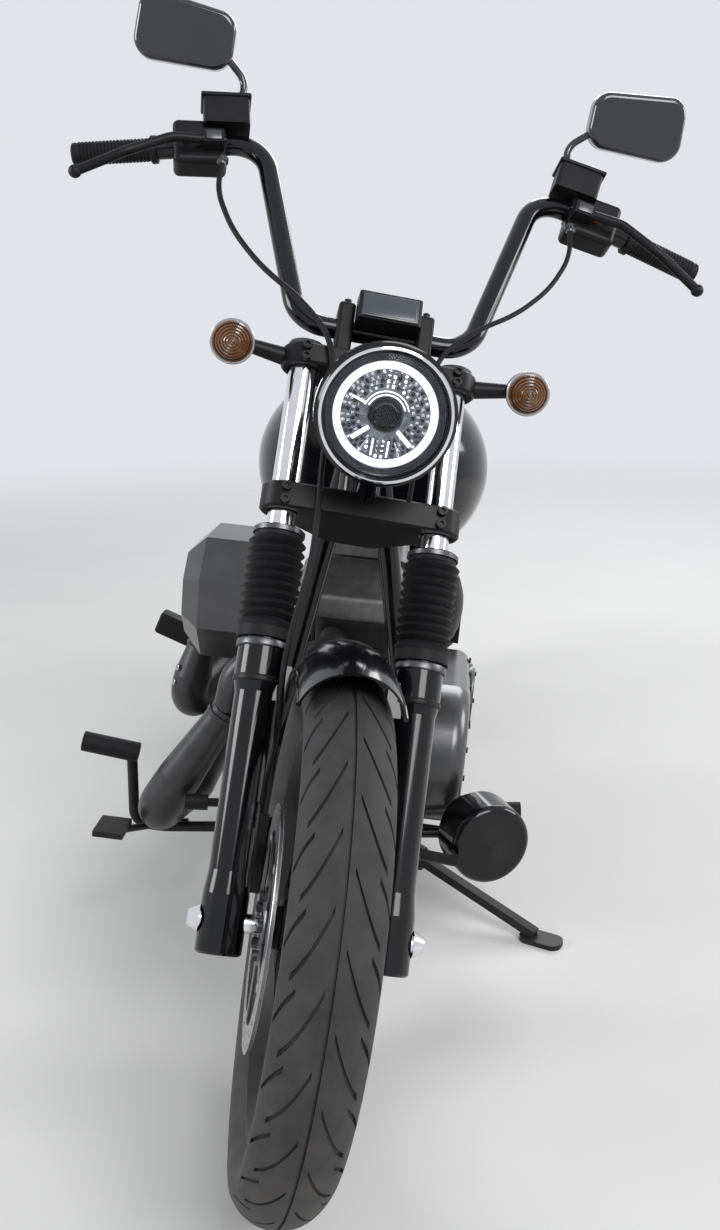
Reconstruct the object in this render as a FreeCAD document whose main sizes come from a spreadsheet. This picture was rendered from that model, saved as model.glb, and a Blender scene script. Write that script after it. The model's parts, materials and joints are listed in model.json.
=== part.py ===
import FreeCAD, Part
import math
import os
import Sketcher

V = FreeCAD.Vector
acrossAxis, rearAxis, upAxis = V(1, 0, 0), V(0, 1, 0), V(0, 0, 1)

os.makedirs("parts", exist_ok=True)
doc = FreeCAD.newDocument("cruiser")
sheet = doc.addObject("Spreadsheet::Sheet", "Sizes")

# Driving sizes in millimetres and degrees: alias, value
sizeRows = [
    ("wheelbase", 1590), ("lean_angle", 6.1), ("steer_angle", 10), ("rake_angle", 30.4), ("fork_offset", 64),
    ("front_radius", 331), ("front_half", 51.5), ("front_crown", 58), ("front_bead", 242),
    ("rear_radius", 323), ("rear_half", 75), ("rear_crown", 84), ("rear_bead", 204),
    ("tyre_wall", 9), ("bead_width", 12), ("rim_depth", 24), ("rim_wall", 5), ("flange_height", 10),
    ("axle_radius", 12), ("axle_gap", 0.3), ("hub_radius", 27), ("hub_flange", 46), ("spoke_radius", 2.2),
    ("front_hub_half", 34), ("rear_hub_half", 58), ("spoke_pairs", 10), ("front_turn", 0.85), ("rear_turn", 1.5),
    ("disc_radius", 150), ("disc_inner", 116), ("disc_thick", 5), ("front_disc_x", 54), ("rear_disc_x", 88),
    ("pad_gap", 2), ("fork_half", 104), ("tube_radius", 19.5), ("slider_radius", 29), ("slider_top", 354),
    ("slider_low", 40), ("gaiter_top", 505), ("gaiter_radius", 38), ("gaiter_ribs", 10), ("rib_depth", 6),
    ("lower_clamp_z", 547), ("lower_clamp_tall", 36), ("upper_clamp_z", 750), ("upper_clamp_tall", 30),
    ("stem_radius", 14), ("head_radius", 31), ("clamp_wall", 12),
    ("lamp_radius", 90), ("lamp_y", 208), ("lamp_z", 630), ("lamp_depth", 105),
    ("riser_tall", 82), ("riser_x", 44), ("riser_wide", 24), ("gauge_tall", 42),
    ("bar_radius", 14.5), ("grip_radius", 16.8), ("frame_tube", 16), ("cradle_half", 116), ("cradle_z", 172),
    ("crank_y", 700), ("crank_z", 300), ("vee_angle", 22.5), ("case_half", 94),
    ("barrel_start", 157), ("barrel_radius", 50), ("fin_half", 64), ("fin_thick", 3.5), ("fin_pitch", 11),
    ("fin_count", 9), ("head_tall", 66), ("rocker_tall", 42),
    ("primary_thick", 72), ("primary_front", 124), ("primary_rear", 96), ("neck_inset", 28), ("primary_back_y", 962),
    ("clutch_radius", 72), ("cam_thick", 46), ("cleaner_gap", 64), ("cleaner_thick", 142), ("cleaner_y", 690),
    ("cleaner_z", 555), ("cleaner_tall", 208), ("cleaner_long", 212), ("cleaner_chamfer", 34),
    ("pipe_radius", 23), ("header_radius", 36), ("muffler_radius", 46), ("muffler_length", 620),
    ("tank_front_y", 476), ("tank_rear_y", 940), ("tank_half", 184), ("tank_top", 962), ("tank_floor", 728),
    ("seat_front_y", 946), ("seat_rear_y", 1395), ("seat_half", 138), ("seat_top", 722), ("seat_thick", 70),
    ("fender_gap", 30), ("fender_skin", 3), ("front_fender_half", 60), ("rear_fender_half", 96),
    ("fender_drop", 46), ("swingarm_half", 132), ("swingarm_tube", 15), ("pivot_y", 1062), ("pivot_z", 330),
    ("belt_x", 90), ("belt_width", 18), ("belt_thick", 6), ("drive_y", 986), ("drive_radius", 44), ("driven_radius", 112),
    ("belt_gap", 0.5), ("foot_x", 361), ("foot_y", 540), ("stand_swing", 96), ("stand_bar", 11),
    ("plate_across", 146), ("plate_hole", 3.5),
    ("stand_x", 146), ("stand_y", 640), ("stand_z", 116), ("canister_radius", 68),
    ("canister_length", 100), ("canister_x", 262), ("canister_y", 494), ("canister_z", 228),
    ("signal_radius", 29), ("signal_length", 80), ("signal_x", 204), ("mirror_x", 344), ("mirror_z", 1247),
    ("hose_radius", 4), ("cable_radius", 3.5),
]
for row, (alias, value) in enumerate(sizeRows, start=1):
    sheet.set("A%d" % row, alias)
    sheet.set("B%d" % row, str(value))
    sheet.setAlias("B%d" % row, alias)
doc.recompute()
size = {alias: float(sheet.get(alias)) for alias, value in sizeRows}
nodes = {}


def number(text):
    value = sheet.evalExpression(str(text))
    return float(getattr(value, "Value", value))


def turned(axis, angle, x=0, y=0, z=0):
    return FreeCAD.Placement(V(x, y, z), FreeCAD.Rotation(axis, angle))


def add(kind, label, placement=None):
    item = doc.addObject(kind, label)
    item.Label = label
    if placement:
        item.Placement = placement
    return item


def feature(label, shape, placement=None):
    item = add("Part::Feature", label)
    item.Shape = shape
    if placement:
        item.Placement = placement.multiply(item.Placement)
    return item


def fused(label, items, placement=None):
    item = add("Part::MultiFuse", label, placement)
    item.Shapes = items
    return item


def lessThan(label, base, tool, placement=None):
    item = add("Part::Cut", label, placement)
    item.Base, item.Tool = base, tool
    return item


def together(label, items, placement=None):
    item = add("Part::Compound", label, placement)
    item.Links = items
    return item


def opposite(source):
    item = add("Part::Mirroring", source.Label + "_opposite")
    item.Source = source
    item.Normal = acrossAxis
    return item


def pair(label, source, placement=None):
    return together(label, [source, opposite(source)], placement)


def keep(item, body):
    nodes[item.Label] = (item, body)
    return item


# The arc's centre lies left of the way from start to end when side is +1
def arcEdge(start, end, radius, side):
    half = (end - start) * 0.5
    rise = math.sqrt(max(radius ** 2 - half.Length ** 2, 0))
    centre = start + half + V(-half.y, half.x, 0) / half.Length * rise * side
    first = math.atan2(start.y - centre.y, start.x - centre.x)
    last = math.atan2(end.y - centre.y, end.x - centre.x)
    if side < 0:
        first, last = last, first
    if last < first:
        last += 2 * math.pi
    ring = Part.Circle(centre, upAxis, radius)
    return Part.ArcOfCircle(ring, first, last), (1, 2) if side > 0 else (2, 1)


# Rows: across, up, and for an arc to the next row its radius and side
def outline(body, plane, rows):
    sketch = body.newObject("Sketcher::SketchObject", body.Label + "_outline")
    origin = [part for part in body.Origin.OriginFeatures if part.Role == plane][0]
    sketch.AttachmentSupport = [(origin, "")]
    sketch.MapMode = "FlatFace"
    points = [V(number(row[0]), number(row[1]), 0) for row in rows]
    ends = []
    for index, row in enumerate(rows):
        start, end = points[index], points[(index + 1) % len(rows)]
        if len(row) > 2:
            edge, order = arcEdge(start, end, number(row[2]), row[3])
        else:
            edge, order = Part.LineSegment(start, end), (1, 2)
        ends.append(order)
        sketch.addGeometry(edge, False)
    for index, row in enumerate(rows):
        after = (index + 1) % len(rows)
        first = ends[index][0]
        sketch.addConstraint(Sketcher.Constraint("Coincident", index, ends[index][1], after, ends[after][0]))
        for kind, text in zip(("DistanceX", "DistanceY"), row[:2]):
            spot = sketch.addConstraint(Sketcher.Constraint(kind, -1, 1, index, first, number(text)))
            sketch.setExpression("Constraints[%d]" % spot, str(text))
        if len(row) > 2:
            spot = sketch.addConstraint(Sketcher.Constraint("Radius", index, number(row[2])))
            sketch.setExpression("Constraints[%d]" % spot, str(row[2]))
    return sketch


def circleIn(body, plane, radius, across="0", up="0"):
    sketch = body.newObject("Sketcher::SketchObject", body.Label + "_circle")
    origin = [part for part in body.Origin.OriginFeatures if part.Role == plane][0]
    sketch.AttachmentSupport = [(origin, "")]
    sketch.MapMode = "FlatFace"
    ring = Part.Circle(V(number(across), number(up), 0), upAxis, number(radius))
    sketch.addGeometry(ring, False)
    for kind, text in zip(("DistanceX", "DistanceY"), (across, up)):
        if number(text):
            spot = sketch.addConstraint(Sketcher.Constraint(kind, -1, 1, 0, 3, number(text)))
            sketch.setExpression("Constraints[%d]" % spot, str(text))
    spot = sketch.addConstraint(Sketcher.Constraint("Radius", 0, number(radius)))
    sketch.setExpression("Constraints[%d]" % spot, str(radius))
    return sketch


def pad(body, sketch, length, middle=False, back=False):
    item = body.newObject("PartDesign::Pad", body.Label + "_pad")
    item.Profile = sketch
    item.setExpression("Length", str(length))
    item.Midplane = middle
    item.Reversed = back
    return item


def pocket(body, sketch, length, back=False):
    item = body.newObject("PartDesign::Pocket", body.Label + "_pocket")
    item.Profile = sketch
    item.setExpression("Length", str(length))
    item.Reversed = back
    return item


# Fillet or chamfer of the edges of the tip that pass the test
def round_(body, kind, radius, test):
    doc.recompute()
    tip = body.Tip
    names = ["Edge%d" % (index + 1) for index, edge in enumerate(tip.Shape.Edges) if test(edge)]
    item = body.newObject("PartDesign::" + kind, body.Label + "_" + kind.lower())
    item.Base = (tip, names)
    item.setExpression("Radius" if kind == "Fillet" else "Size", str(radius))
    return item


# A profile of axial and radial places turned about the local X axis
def revolved(label, rows, angle="360", placement=None):
    body = add("PartDesign::Body", label, placement)
    sketch = outline(body, "XY_Plane", rows)
    item = body.newObject("PartDesign::Revolution", label + "_turn")
    item.Profile = sketch
    item.ReferenceAxis = (sketch, ["H_Axis"])
    item.setExpression("Angle", str(angle))
    return body


def prism(label, plane, rows, length, middle=False, back=False, placement=None):
    body = add("PartDesign::Body", label, placement)
    pad(body, outline(body, plane, rows), length, middle, back)
    return body


# Straight runs joined by tangent arcs at the inner points
def bentWire(points, radii):
    edges = []
    last = points[0]
    for index in range(1, len(points) - 1):
        corner = points[index]
        back = (points[index - 1] - corner).normalize()
        ahead = (points[index + 1] - corner).normalize()
        half = back.getAngle(ahead) / 2
        reach = radii[index - 1] / math.tan(half)
        middle = (back + ahead).normalize()
        centre = corner + middle * (radii[index - 1] / math.sin(half))
        start, end = corner + back * reach, corner + ahead * reach
        edges.append(Part.LineSegment(last, start).toShape())
        edges.append(Part.Arc(start, centre - middle * radii[index - 1], end).toShape())
        last = end
    edges.append(Part.LineSegment(last, points[-1]).toShape())
    return Part.Wire(edges)


def bentRod(points, bend, radius):
    radii = bend if isinstance(bend, (list, tuple)) else [bend] * (len(points) - 2)
    ring = Part.Wire([Part.Circle(points[0], points[1] - points[0], radius).toShape()])
    if len(points) == 2:
        return Part.makeCylinder(radius, (points[1] - points[0]).Length, points[0], points[1] - points[0])
    return bentWire(points, radii).makePipeShell([ring], True, False)


def rod(start, end, radius):
    return Part.makeCylinder(radius, (end - start).Length, start, end - start)


def flip(point):
    return V(-point.x, point.y, point.z)


def merged(shapes):
    return shapes[0].multiFuse(shapes[1:]).removeSplitter()


def twice(shape):
    return shape.mirror(V(0, 0, 0), acrossAxis)


# Upright frame: +X rider's left, +Y rearward, +Z up, front contact at the origin.
# Fork frame: +Z along the steering axis, +Y rearward, the axle lies fork_offset ahead of it.
rake = math.radians(size["rake_angle"])
forkBase = V(0, size["fork_offset"] * math.cos(rake), size["front_radius"] - size["fork_offset"] * math.sin(rake))
forkFrame = FreeCAD.Placement(forkBase, FreeCAD.Rotation(acrossAxis, -size["rake_angle"]))
steering = FreeCAD.Placement(V(0, 0, 0), FreeCAD.Rotation(upAxis, size["steer_angle"]))
frontAxle = V(0, -size["fork_offset"], 0)
rearAxle = V(0, size["wheelbase"], size["rear_radius"])


def lowest(stance, local, centre, radius, crown):
    tilt = stance.multiply(local)
    axis = tilt.Rotation.multVec(acrossAxis)
    return tilt.multVec(centre).z - (radius - crown) * math.sqrt(1 - axis.z ** 2) - crown


# Leant on its stand, with the height and pitch that set both tyres on the floor
height, pitch = 0.0, 0.0
for attempt in range(6):
    turn = FreeCAD.Rotation(rearAxis, size["lean_angle"]).multiply(FreeCAD.Rotation(acrossAxis, pitch))
    stance = FreeCAD.Placement(V(0, 0, height), turn)
    frontLow = lowest(stance, forkFrame.multiply(steering), frontAxle, size["front_radius"], size["front_crown"])
    rearLow = lowest(stance, FreeCAD.Placement(), rearAxle, size["rear_radius"], size["rear_crown"])
    height -= frontLow
    pitch -= math.degrees((rearLow - frontLow) / size["wheelbase"])
steered = stance.multiply(forkFrame).multiply(steering)


# Wheels: tyre, rim with hub and spokes, disc
def tyre(label, end, placement):
    wide, crown, bead = "Sizes.%s_half" % end, "Sizes.%s_crown" % end, "Sizes.%s_bead" % end
    shoulder = "Sizes.%s_radius - %s + sqrt(%s ^ 2 - %s ^ 2)" % (end, crown, crown, wide)
    inside = "%s - Sizes.tyre_wall" % wide
    under = "%s - Sizes.tyre_wall" % shoulder
    foot, toe = "%s * 0.62" % wide, "%s * 0.62 - Sizes.bead_width" % wide
    swell = "(%s - %s) * 0.85" % (shoulder, bead)
    rise = "%s + Sizes.flange_height + 2" % bead
    return revolved(label, [
        ("-(%s)" % wide, shoulder, crown, -1),
        (wide, shoulder, swell, -1),
        (foot, rise), (foot, bead), (toe, bead),
        (toe, rise, swell, 1),
        (inside, under, "%s - Sizes.tyre_wall" % crown, 1),
        ("-(%s)" % inside, under, swell, 1),
        ("-(%s)" % toe, rise), ("-(%s)" % toe, bead), ("-(%s)" % foot, bead),
        ("-(%s)" % foot, rise, swell, -1)], placement=placement)


def rim(label, end, placement):
    bead = "Sizes.%s_bead" % end
    edge = "Sizes.%s_half * 0.62 + Sizes.rim_wall" % end
    seat = "Sizes.%s_half * 0.62 + 0.3" % end
    step = "Sizes.%s_half * 0.62 - Sizes.bead_width - 2" % end
    ringTop = "%s + Sizes.flange_height" % bead
    seatTop = "%s - 0.3" % bead
    well = "%s - Sizes.rim_depth" % bead
    ring = revolved(label + "_ring", [
        ("-(%s)" % edge, ringTop), ("-(%s)" % seat, ringTop), ("-(%s)" % seat, seatTop), ("-(%s)" % step, seatTop),
        ("-(%s) * 0.6" % step, "%s + Sizes.rim_wall" % well), ("(%s) * 0.6" % step, "%s + Sizes.rim_wall" % well),
        (step, seatTop), (seat, seatTop), (seat, ringTop), (edge, ringTop),
        (edge, "%s - Sizes.rim_wall" % bead), ("(%s) * 0.6" % step, well), ("-(%s) * 0.6" % step, well),
        ("-(%s)" % edge, "%s - Sizes.rim_wall" % bead)])
    half, flange = "Sizes.%s_hub_half" % end, "Sizes.hub_flange"
    bore = "Sizes.axle_radius + Sizes.axle_gap"
    hub = revolved(label + "_hub", [
        ("-(%s) - 12" % half, bore), ("-(%s) - 12" % half, "Sizes.hub_radius * 0.9"),
        ("-(%s)" % half, "Sizes.hub_radius"), ("-(%s)" % half, flange), ("-(%s) + 6" % half, flange),
        ("-(%s) + 12" % half, "Sizes.hub_radius"), ("%s - 12" % half, "Sizes.hub_radius"), ("%s - 6" % half, flange),
        (half, flange), (half, "Sizes.hub_radius"), ("%s + 12" % half, "Sizes.hub_radius * 0.9"),
        ("%s + 12" % half, bore)])
    spokes = []
    reach = number("%s + 2" % well)
    count = int(size["spoke_pairs"]) * 2
    for side in (-1, 1):
        for index in range(count):
            start = math.radians(360 / count * index + (90 / count if side > 0 else 0))
            sweep = math.radians(38) * (1 if index % 2 else -1)
            low = V(side * (number(half) - 3), (size["hub_flange"] - 4) * math.cos(start),
                    (size["hub_flange"] - 4) * math.sin(start))
            high = V(side * 7, reach * math.cos(start + sweep), reach * math.sin(start + sweep))
            spokes.append(rod(low, high, size["spoke_radius"]))
    laced = feature(label + "_spokes", Part.makeCompound(spokes))
    return fused(label, [ring, hub, laced], placement)


def disc(label, across, hubEnd, placement):
    half = "Sizes.disc_thick / 2"
    ring = revolved(label + "_ring", [
        ("%s - %s" % (across, half), "Sizes.disc_inner"), ("%s - %s" % (across, half), "Sizes.disc_radius"),
        ("%s + %s" % (across, half), "Sizes.disc_radius"), ("%s + %s" % (across, half), "Sizes.disc_inner")])
    outside = number(across) - size["disc_thick"] / 2
    arms = []
    for index in range(5):
        arm = Part.makeBox(size["disc_thick"], size["disc_inner"] - 30, 22, V(outside, 34, -11))
        arm.rotate(V(0, 0, 0), acrossAxis, index * 72)
        arms.append(arm)
    reach = number(hubEnd) - outside
    middle = Part.makeCylinder(48, reach, V(outside, 0, 0), acrossAxis)
    hole = Part.makeCylinder(size["axle_radius"] + 6, reach, V(outside, 0, 0), acrossAxis)
    carrier = feature(label + "_carrier", merged(arms + [middle]).cut(hole))
    return fused(label, [ring, carrier], placement)


frontPlace = steered.multiply(FreeCAD.Placement(frontAxle, FreeCAD.Rotation()))
rearPlace = stance.multiply(FreeCAD.Placement(rearAxle, FreeCAD.Rotation()))
frontHub = frontPlace.multiply(turned(acrossAxis, size["front_turn"]))
rearHub = rearPlace.multiply(turned(acrossAxis, size["rear_turn"]))
keep(tyre("front_tyre", "front", frontHub), "front_wheel")
keep(rim("front_rim", "front", frontHub), "front_wheel")
keep(tyre("rear_tyre", "rear", rearHub), "rear_wheel")
keep(rim("rear_rim", "rear", rearHub), "rear_wheel")
keep(disc("front_disc", "-Sizes.front_disc_x", "-(Sizes.front_hub_half + 12 + Sizes.axle_gap)", frontHub), "front_wheel")
keep(disc("rear_disc", "-Sizes.rear_disc_x", "-(Sizes.rear_hub_half + 12 + Sizes.axle_gap)", rearHub), "rear_wheel")
pulleyIn = "Sizes.rear_hub_half + 12 + Sizes.axle_gap"
keep(revolved("rear_pulley", [
    (pulleyIn, "Sizes.axle_radius + 6"), (pulleyIn, "52"), ("Sizes.belt_x - 5", "52"),
    ("Sizes.belt_x - 5", "Sizes.driven_radius - 12"), ("Sizes.belt_x - Sizes.belt_width / 2", "Sizes.driven_radius - 12"),
    ("Sizes.belt_x - Sizes.belt_width / 2", "Sizes.driven_radius"),
    ("Sizes.belt_x + Sizes.belt_width / 2", "Sizes.driven_radius"),
    ("Sizes.belt_x + Sizes.belt_width / 2", "Sizes.driven_radius - 12"),
    ("Sizes.belt_x + 5", "Sizes.driven_radius - 12"), ("Sizes.belt_x + 5", "Sizes.axle_radius + 6")],
    placement=rearHub), "rear_wheel")

# Fork: clamps with the stem, tubes, gaiters, sliders, axle
tubeX, tubeY = "Sizes.fork_half", "-Sizes.fork_offset"
holeRadius = "Sizes.tube_radius + Sizes.axle_gap"


def clampPlate(label, tall, stemReach, z):
    wall = "(Sizes.tube_radius + Sizes.clamp_wall)"
    body = add("PartDesign::Body", label, turned(upAxis, 0, 0, 0, size[z]))
    plate = outline(body, "XY_Plane", [
        ("-%s" % tubeX, "%s - %s" % (tubeY, wall)), (tubeX, "%s - %s" % (tubeY, wall), wall, 1),
        ("%s + %s" % (tubeX, wall), tubeY, wall, 1), (tubeX, "%s + %s" % (tubeY, wall)),
        (stemReach, stemReach), ("-%s" % stemReach, stemReach),
        ("-%s" % tubeX, "%s + %s" % (tubeY, wall), wall, 1), ("-%s - %s" % (tubeX, wall), tubeY, wall, 1)])
    pad(body, plate, tall, middle=True)
    for side in ("", "-"):
        doc.recompute()
        item = pocket(body, circleIn(body, "XY_Plane", holeRadius, side + tubeX, tubeY), "%s * 2" % tall)
        item.Midplane = True
    round_(body, "Chamfer", "3", lambda edge: abs(edge.BoundBox.ZLength) < 0.1 and edge.Length > 60)
    return body


lowerPlate = clampPlate("lower_plate", "Sizes.lower_clamp_tall", "34", "lower_clamp_z")
upperPlate = clampPlate("upper_plate", "Sizes.upper_clamp_tall", "20", "upper_clamp_z")
stemLow = size["lower_clamp_z"] - size["lower_clamp_tall"] / 2
stemTop = size["upper_clamp_z"] - size["upper_clamp_tall"] / 2
stem = add("Part::Cylinder", "stem", turned(upAxis, 0, 0, 0, stemLow))
stem.setExpression("Radius", "Sizes.stem_radius")
stem.setExpression("Height", "Sizes.upper_clamp_z - Sizes.upper_clamp_tall / 2 - Sizes.lower_clamp_z"
                             " + Sizes.lower_clamp_tall / 2")
keep(fused("lower_clamp", [lowerPlate, stem], steered), "steering")

tube = add("Part::Cylinder", "tube", turned(upAxis, 0, size["fork_half"], -size["fork_offset"], size["slider_top"]))
tube.setExpression("Radius", "Sizes.tube_radius")
tube.setExpression("Height", "Sizes.upper_clamp_z + Sizes.upper_clamp_tall / 2 + 4 - Sizes.slider_top")
keep(pair("fork_tubes", tube, steered), "steering")


# Local X up the fork leg on the rider's left
def leg(z=0):
    return FreeCAD.Placement(V(size["fork_half"], -size["fork_offset"], z), FreeCAD.Rotation(rearAxis, -90))


ribs = int(size["gaiter_ribs"])
ribStep = "(Sizes.gaiter_top - Sizes.slider_top - 28) / Sizes.gaiter_ribs"
profile = [("0", "Sizes.tube_radius + 2"), ("0", "Sizes.gaiter_radius - 2"), ("14", "Sizes.gaiter_radius - 2")]
for rib in range(ribs):
    profile.append(("14 + %s * %g" % (ribStep, rib + 0.5), "Sizes.gaiter_radius"))
    profile.append(("14 + %s * %g" % (ribStep, rib + 1), "Sizes.gaiter_radius - Sizes.rib_depth"))
profile += [("Sizes.gaiter_top - Sizes.slider_top", "Sizes.gaiter_radius - Sizes.rib_depth"),
            ("Sizes.gaiter_top - Sizes.slider_top", "Sizes.tube_radius + 2")]
gaiter = revolved("gaiter", profile, placement=leg(size["slider_top"]))
keep(pair("fork_gaiters", gaiter, steered), "steering")

slider = revolved("slider", [
    ("-Sizes.slider_low", "0"), ("-Sizes.slider_low", "Sizes.slider_radius - 3"),
    ("-Sizes.slider_low + 3", "Sizes.slider_radius"), ("32", "Sizes.slider_radius"),
    ("60", "Sizes.slider_radius - 3"), ("Sizes.slider_top - 70", "Sizes.slider_radius - 2"),
    ("Sizes.slider_top - 52", "Sizes.slider_radius + 2"), ("Sizes.slider_top", "Sizes.slider_radius + 2"),
    ("Sizes.slider_top", "0")], placement=leg())
axleHole = add("Part::Cylinder", "axle_hole", turned(rearAxis, 90, 0, -size["fork_offset"], 0))
axleHole.setExpression("Radius", "Sizes.axle_radius + Sizes.axle_gap")
axleHole.setExpression("Height", "Sizes.fork_half * 2")
lug = add("Part::Box", "fender_lug")
lug.setExpression("Length", "Sizes.fork_half - Sizes.front_fender_half - Sizes.fender_skin - Sizes.axle_gap")
lug.Width, lug.Height = 34, 46
lug.setExpression("Placement.Base.x", "Sizes.front_fender_half + Sizes.fender_skin + Sizes.axle_gap")
lug.setExpression("Placement.Base.y", "-Sizes.fork_offset - 17")
lug.setExpression("Placement.Base.z", "Sizes.slider_top - 78")
solidSlider = fused("slider_solid", [slider, lug])
bored = add("Part::Cut", "slider_bored")
bored.Base, bored.Tool = solidSlider, axleHole
keep(pair("fork_sliders", bored, steered), "steering")

axleEnd = "Sizes.fork_half + Sizes.slider_radius"
keep(revolved("front_axle", [
    ("-(%s) - 14" % axleEnd, "0"), ("-(%s) - 14" % axleEnd, "10"), ("-(%s) - 0.3" % axleEnd, "17"),
    ("-(%s) - 0.3" % axleEnd, "Sizes.axle_radius"), ("%s + 0.3" % axleEnd, "Sizes.axle_radius"),
    ("%s + 0.3" % axleEnd, "17"), ("%s + 14" % axleEnd, "10"), ("%s + 14" % axleEnd, "0")],
    placement=frontPlace), "steering")


def fender(label, end, start, sweep, placement):
    half, top = "Sizes.%s_fender_half" % end, "(Sizes.%s_radius + Sizes.fender_gap)" % end
    low = "%s - Sizes.fender_drop" % top
    skin = "Sizes.fender_skin"
    bow = "(%s ^ 2 + Sizes.fender_drop ^ 2) / (2 * Sizes.fender_drop)" % half
    outer = "((%s + %s) ^ 2 + (Sizes.fender_drop + %s) ^ 2) / (2 * (Sizes.fender_drop + %s))" % (half, skin, skin, skin)
    turn = FreeCAD.Placement(V(0, 0, 0), FreeCAD.Rotation(acrossAxis, start))
    return revolved(label, [
        ("-(%s)" % half, low, bow, -1), (half, low), ("%s + %s" % (half, skin), low, outer, 1),
        ("-(%s + %s)" % (half, skin), low)], sweep, placement.multiply(turn))


keep(fender("front_fender", "front", size["rake_angle"] + 18, 80, frontPlace), "steering")
keep(fender("rear_fender", "rear", 16, 132, rearPlace), "frame")

# Headlamp: local X forward
lampLocal = FreeCAD.Placement(V(0, -size["lamp_y"], size["lamp_z"]), FreeCAD.Rotation(acrossAxis, size["rake_angle"]))
lampTurn = steered.multiply(lampLocal).multiply(turned(upAxis, -90))
shell = revolved("lamp_bowl", [
    ("-Sizes.lamp_depth", "0"), ("-Sizes.lamp_depth", "18", "Sizes.lamp_depth * 1.05", -1),
    ("-Sizes.lamp_depth * 0.3", "Sizes.lamp_radius - 6"), ("-8", "Sizes.lamp_radius - 4"), ("-8", "0")],
    placement=lampLocal.multiply(turned(upAxis, -90)))
clampFace = -size["fork_offset"] - size["tube_radius"] - size["clamp_wall"] - 0.3
lampArm = rod(V(0, clampFace + 20, size["lower_clamp_z"] + 4), V(0, -size["lamp_y"] + 60, size["lamp_z"] - 38), 13)
bracket = feature("lamp_bracket", lampArm.cut(Part.makeBox(80, 60, 80, V(-40, clampFace, size["lower_clamp_z"] - 40))))
keep(fused("headlamp_shell", [shell, bracket], steered), "steering")
keep(revolved("headlamp_bezel", [
    ("-7.7", "Sizes.lamp_radius - 12"), ("-7.7", "Sizes.lamp_radius"), ("6", "Sizes.lamp_radius", "14", 1),
    ("15", "Sizes.lamp_radius - 8"), ("12", "Sizes.lamp_radius - 12")], placement=lampTurn), "steering")
keep(revolved("headlamp_lens", [
    ("-7.7", "0"), ("-7.7", "Sizes.lamp_radius - 12.3"), ("8", "Sizes.lamp_radius - 12.3", "220", 1), ("19", "4"), ("19", "0")],
    placement=lampTurn), "steering")

# Handlebar with grips, risers, levers, housings, mirrors
barEnd, barTop, barLow = V(480, 45, 1064), V(209, 0, 1112), V(122, -52, 812)
barPoints = [barEnd, barTop, barLow, flip(barLow), flip(barTop), flip(barEnd)]
barBends = [58, 52, 52, 58]
keep(feature("handlebar", bentRod(barPoints, barBends, size["bar_radius"]), steered), "steering")
barWay = (barTop - barEnd).normalize()


def along(distance):
    return barEnd + barWay * distance


grip = rod(barEnd - barWay * 5, along(122), size["grip_radius"]).cut(
    rod(barEnd - barWay * 0.3, along(140), size["bar_radius"] + 0.3))
keep(together("grips", [feature("grip_left", grip), feature("grip_right", twice(grip))], steered), "steering")

housingCentre = along(184)
barRoom = bentRod(barPoints, barBends, size["bar_radius"] + 0.3)
housing = Part.makeBox(78, 48, 70, V(-39, -27, -40))
housing = housing.makeFillet(9, housing.Edges)
reservoir = Part.makeBox(68, 44, 44, V(-74, -42, 16))
reservoir = reservoir.makeFillet(6, [edge for edge in reservoir.Edges if edge.BoundBox.ZLength > 20])
lid = Part.makeBox(74, 50, 6, V(-77, -45, 58))
lid = lid.makeFillet(2.5, lid.Edges)
perch = Part.makeBox(30, 28, 20, V(-35, -50, -22))
housing = merged([housing, reservoir, lid, perch])
housing.rotate(V(0, 0, 0), rearAxis, math.degrees(math.atan2(-barWay.z, -barWay.x)) * -1)
housing.translate(housingCentre)
straightRoom = rod(along(100), along(240), size["bar_radius"] + 0.3)
housing = housing.cut(straightRoom)

leverPoints = [housingCentre + V(-16, -42, -12), housingCentre + V(36, -50, -24), V(395, -46, 1028), V(462, -30, 990)]
lever = bentRod(leverPoints, [40, 60], 7)
ball = Part.makeSphere(9.5, leverPoints[-1])
control = merged([housing, lever, ball]).cut(straightRoom)
keep(together("bar_controls", [feature("control_left", control), feature("control_right", twice(control))], steered),
     "steering")

mirrorCentre = V(size["mirror_x"], -30, size["mirror_z"])
glassHigh = FreeCAD.Placement(mirrorCentre, FreeCAD.Rotation(acrossAxis, size["rake_angle"]))
mirror = prism("mirror_head", "XZ_Plane", [
    ("-72", "-18", "30", 1), ("-44", "-44"), ("46", "-46", "30", 1), ("74", "-18"), ("72", "24", "28", 1),
    ("48", "48"), ("-48", "38", "26", 1), ("-72", "14")], "26", placement=glassHigh)
round_(mirror, "Fillet", "9", lambda edge: edge.BoundBox.YLength < 0.1 and edge.BoundBox.YMin < -20)
stemFoot = housingCentre + V(-42, -18, 50)
mirrorRod = feature("mirror_rod", bentRod([stemFoot, stemFoot + V(-12, -2, 58), mirrorCentre + V(-44, -6, -10)],
                                          [26], 5.5).cut(housing))
mirrorSide = fused("mirror_side", [mirror, mirrorRod])
keep(pair("mirrors", mirrorSide, steered), "steering")

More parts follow.
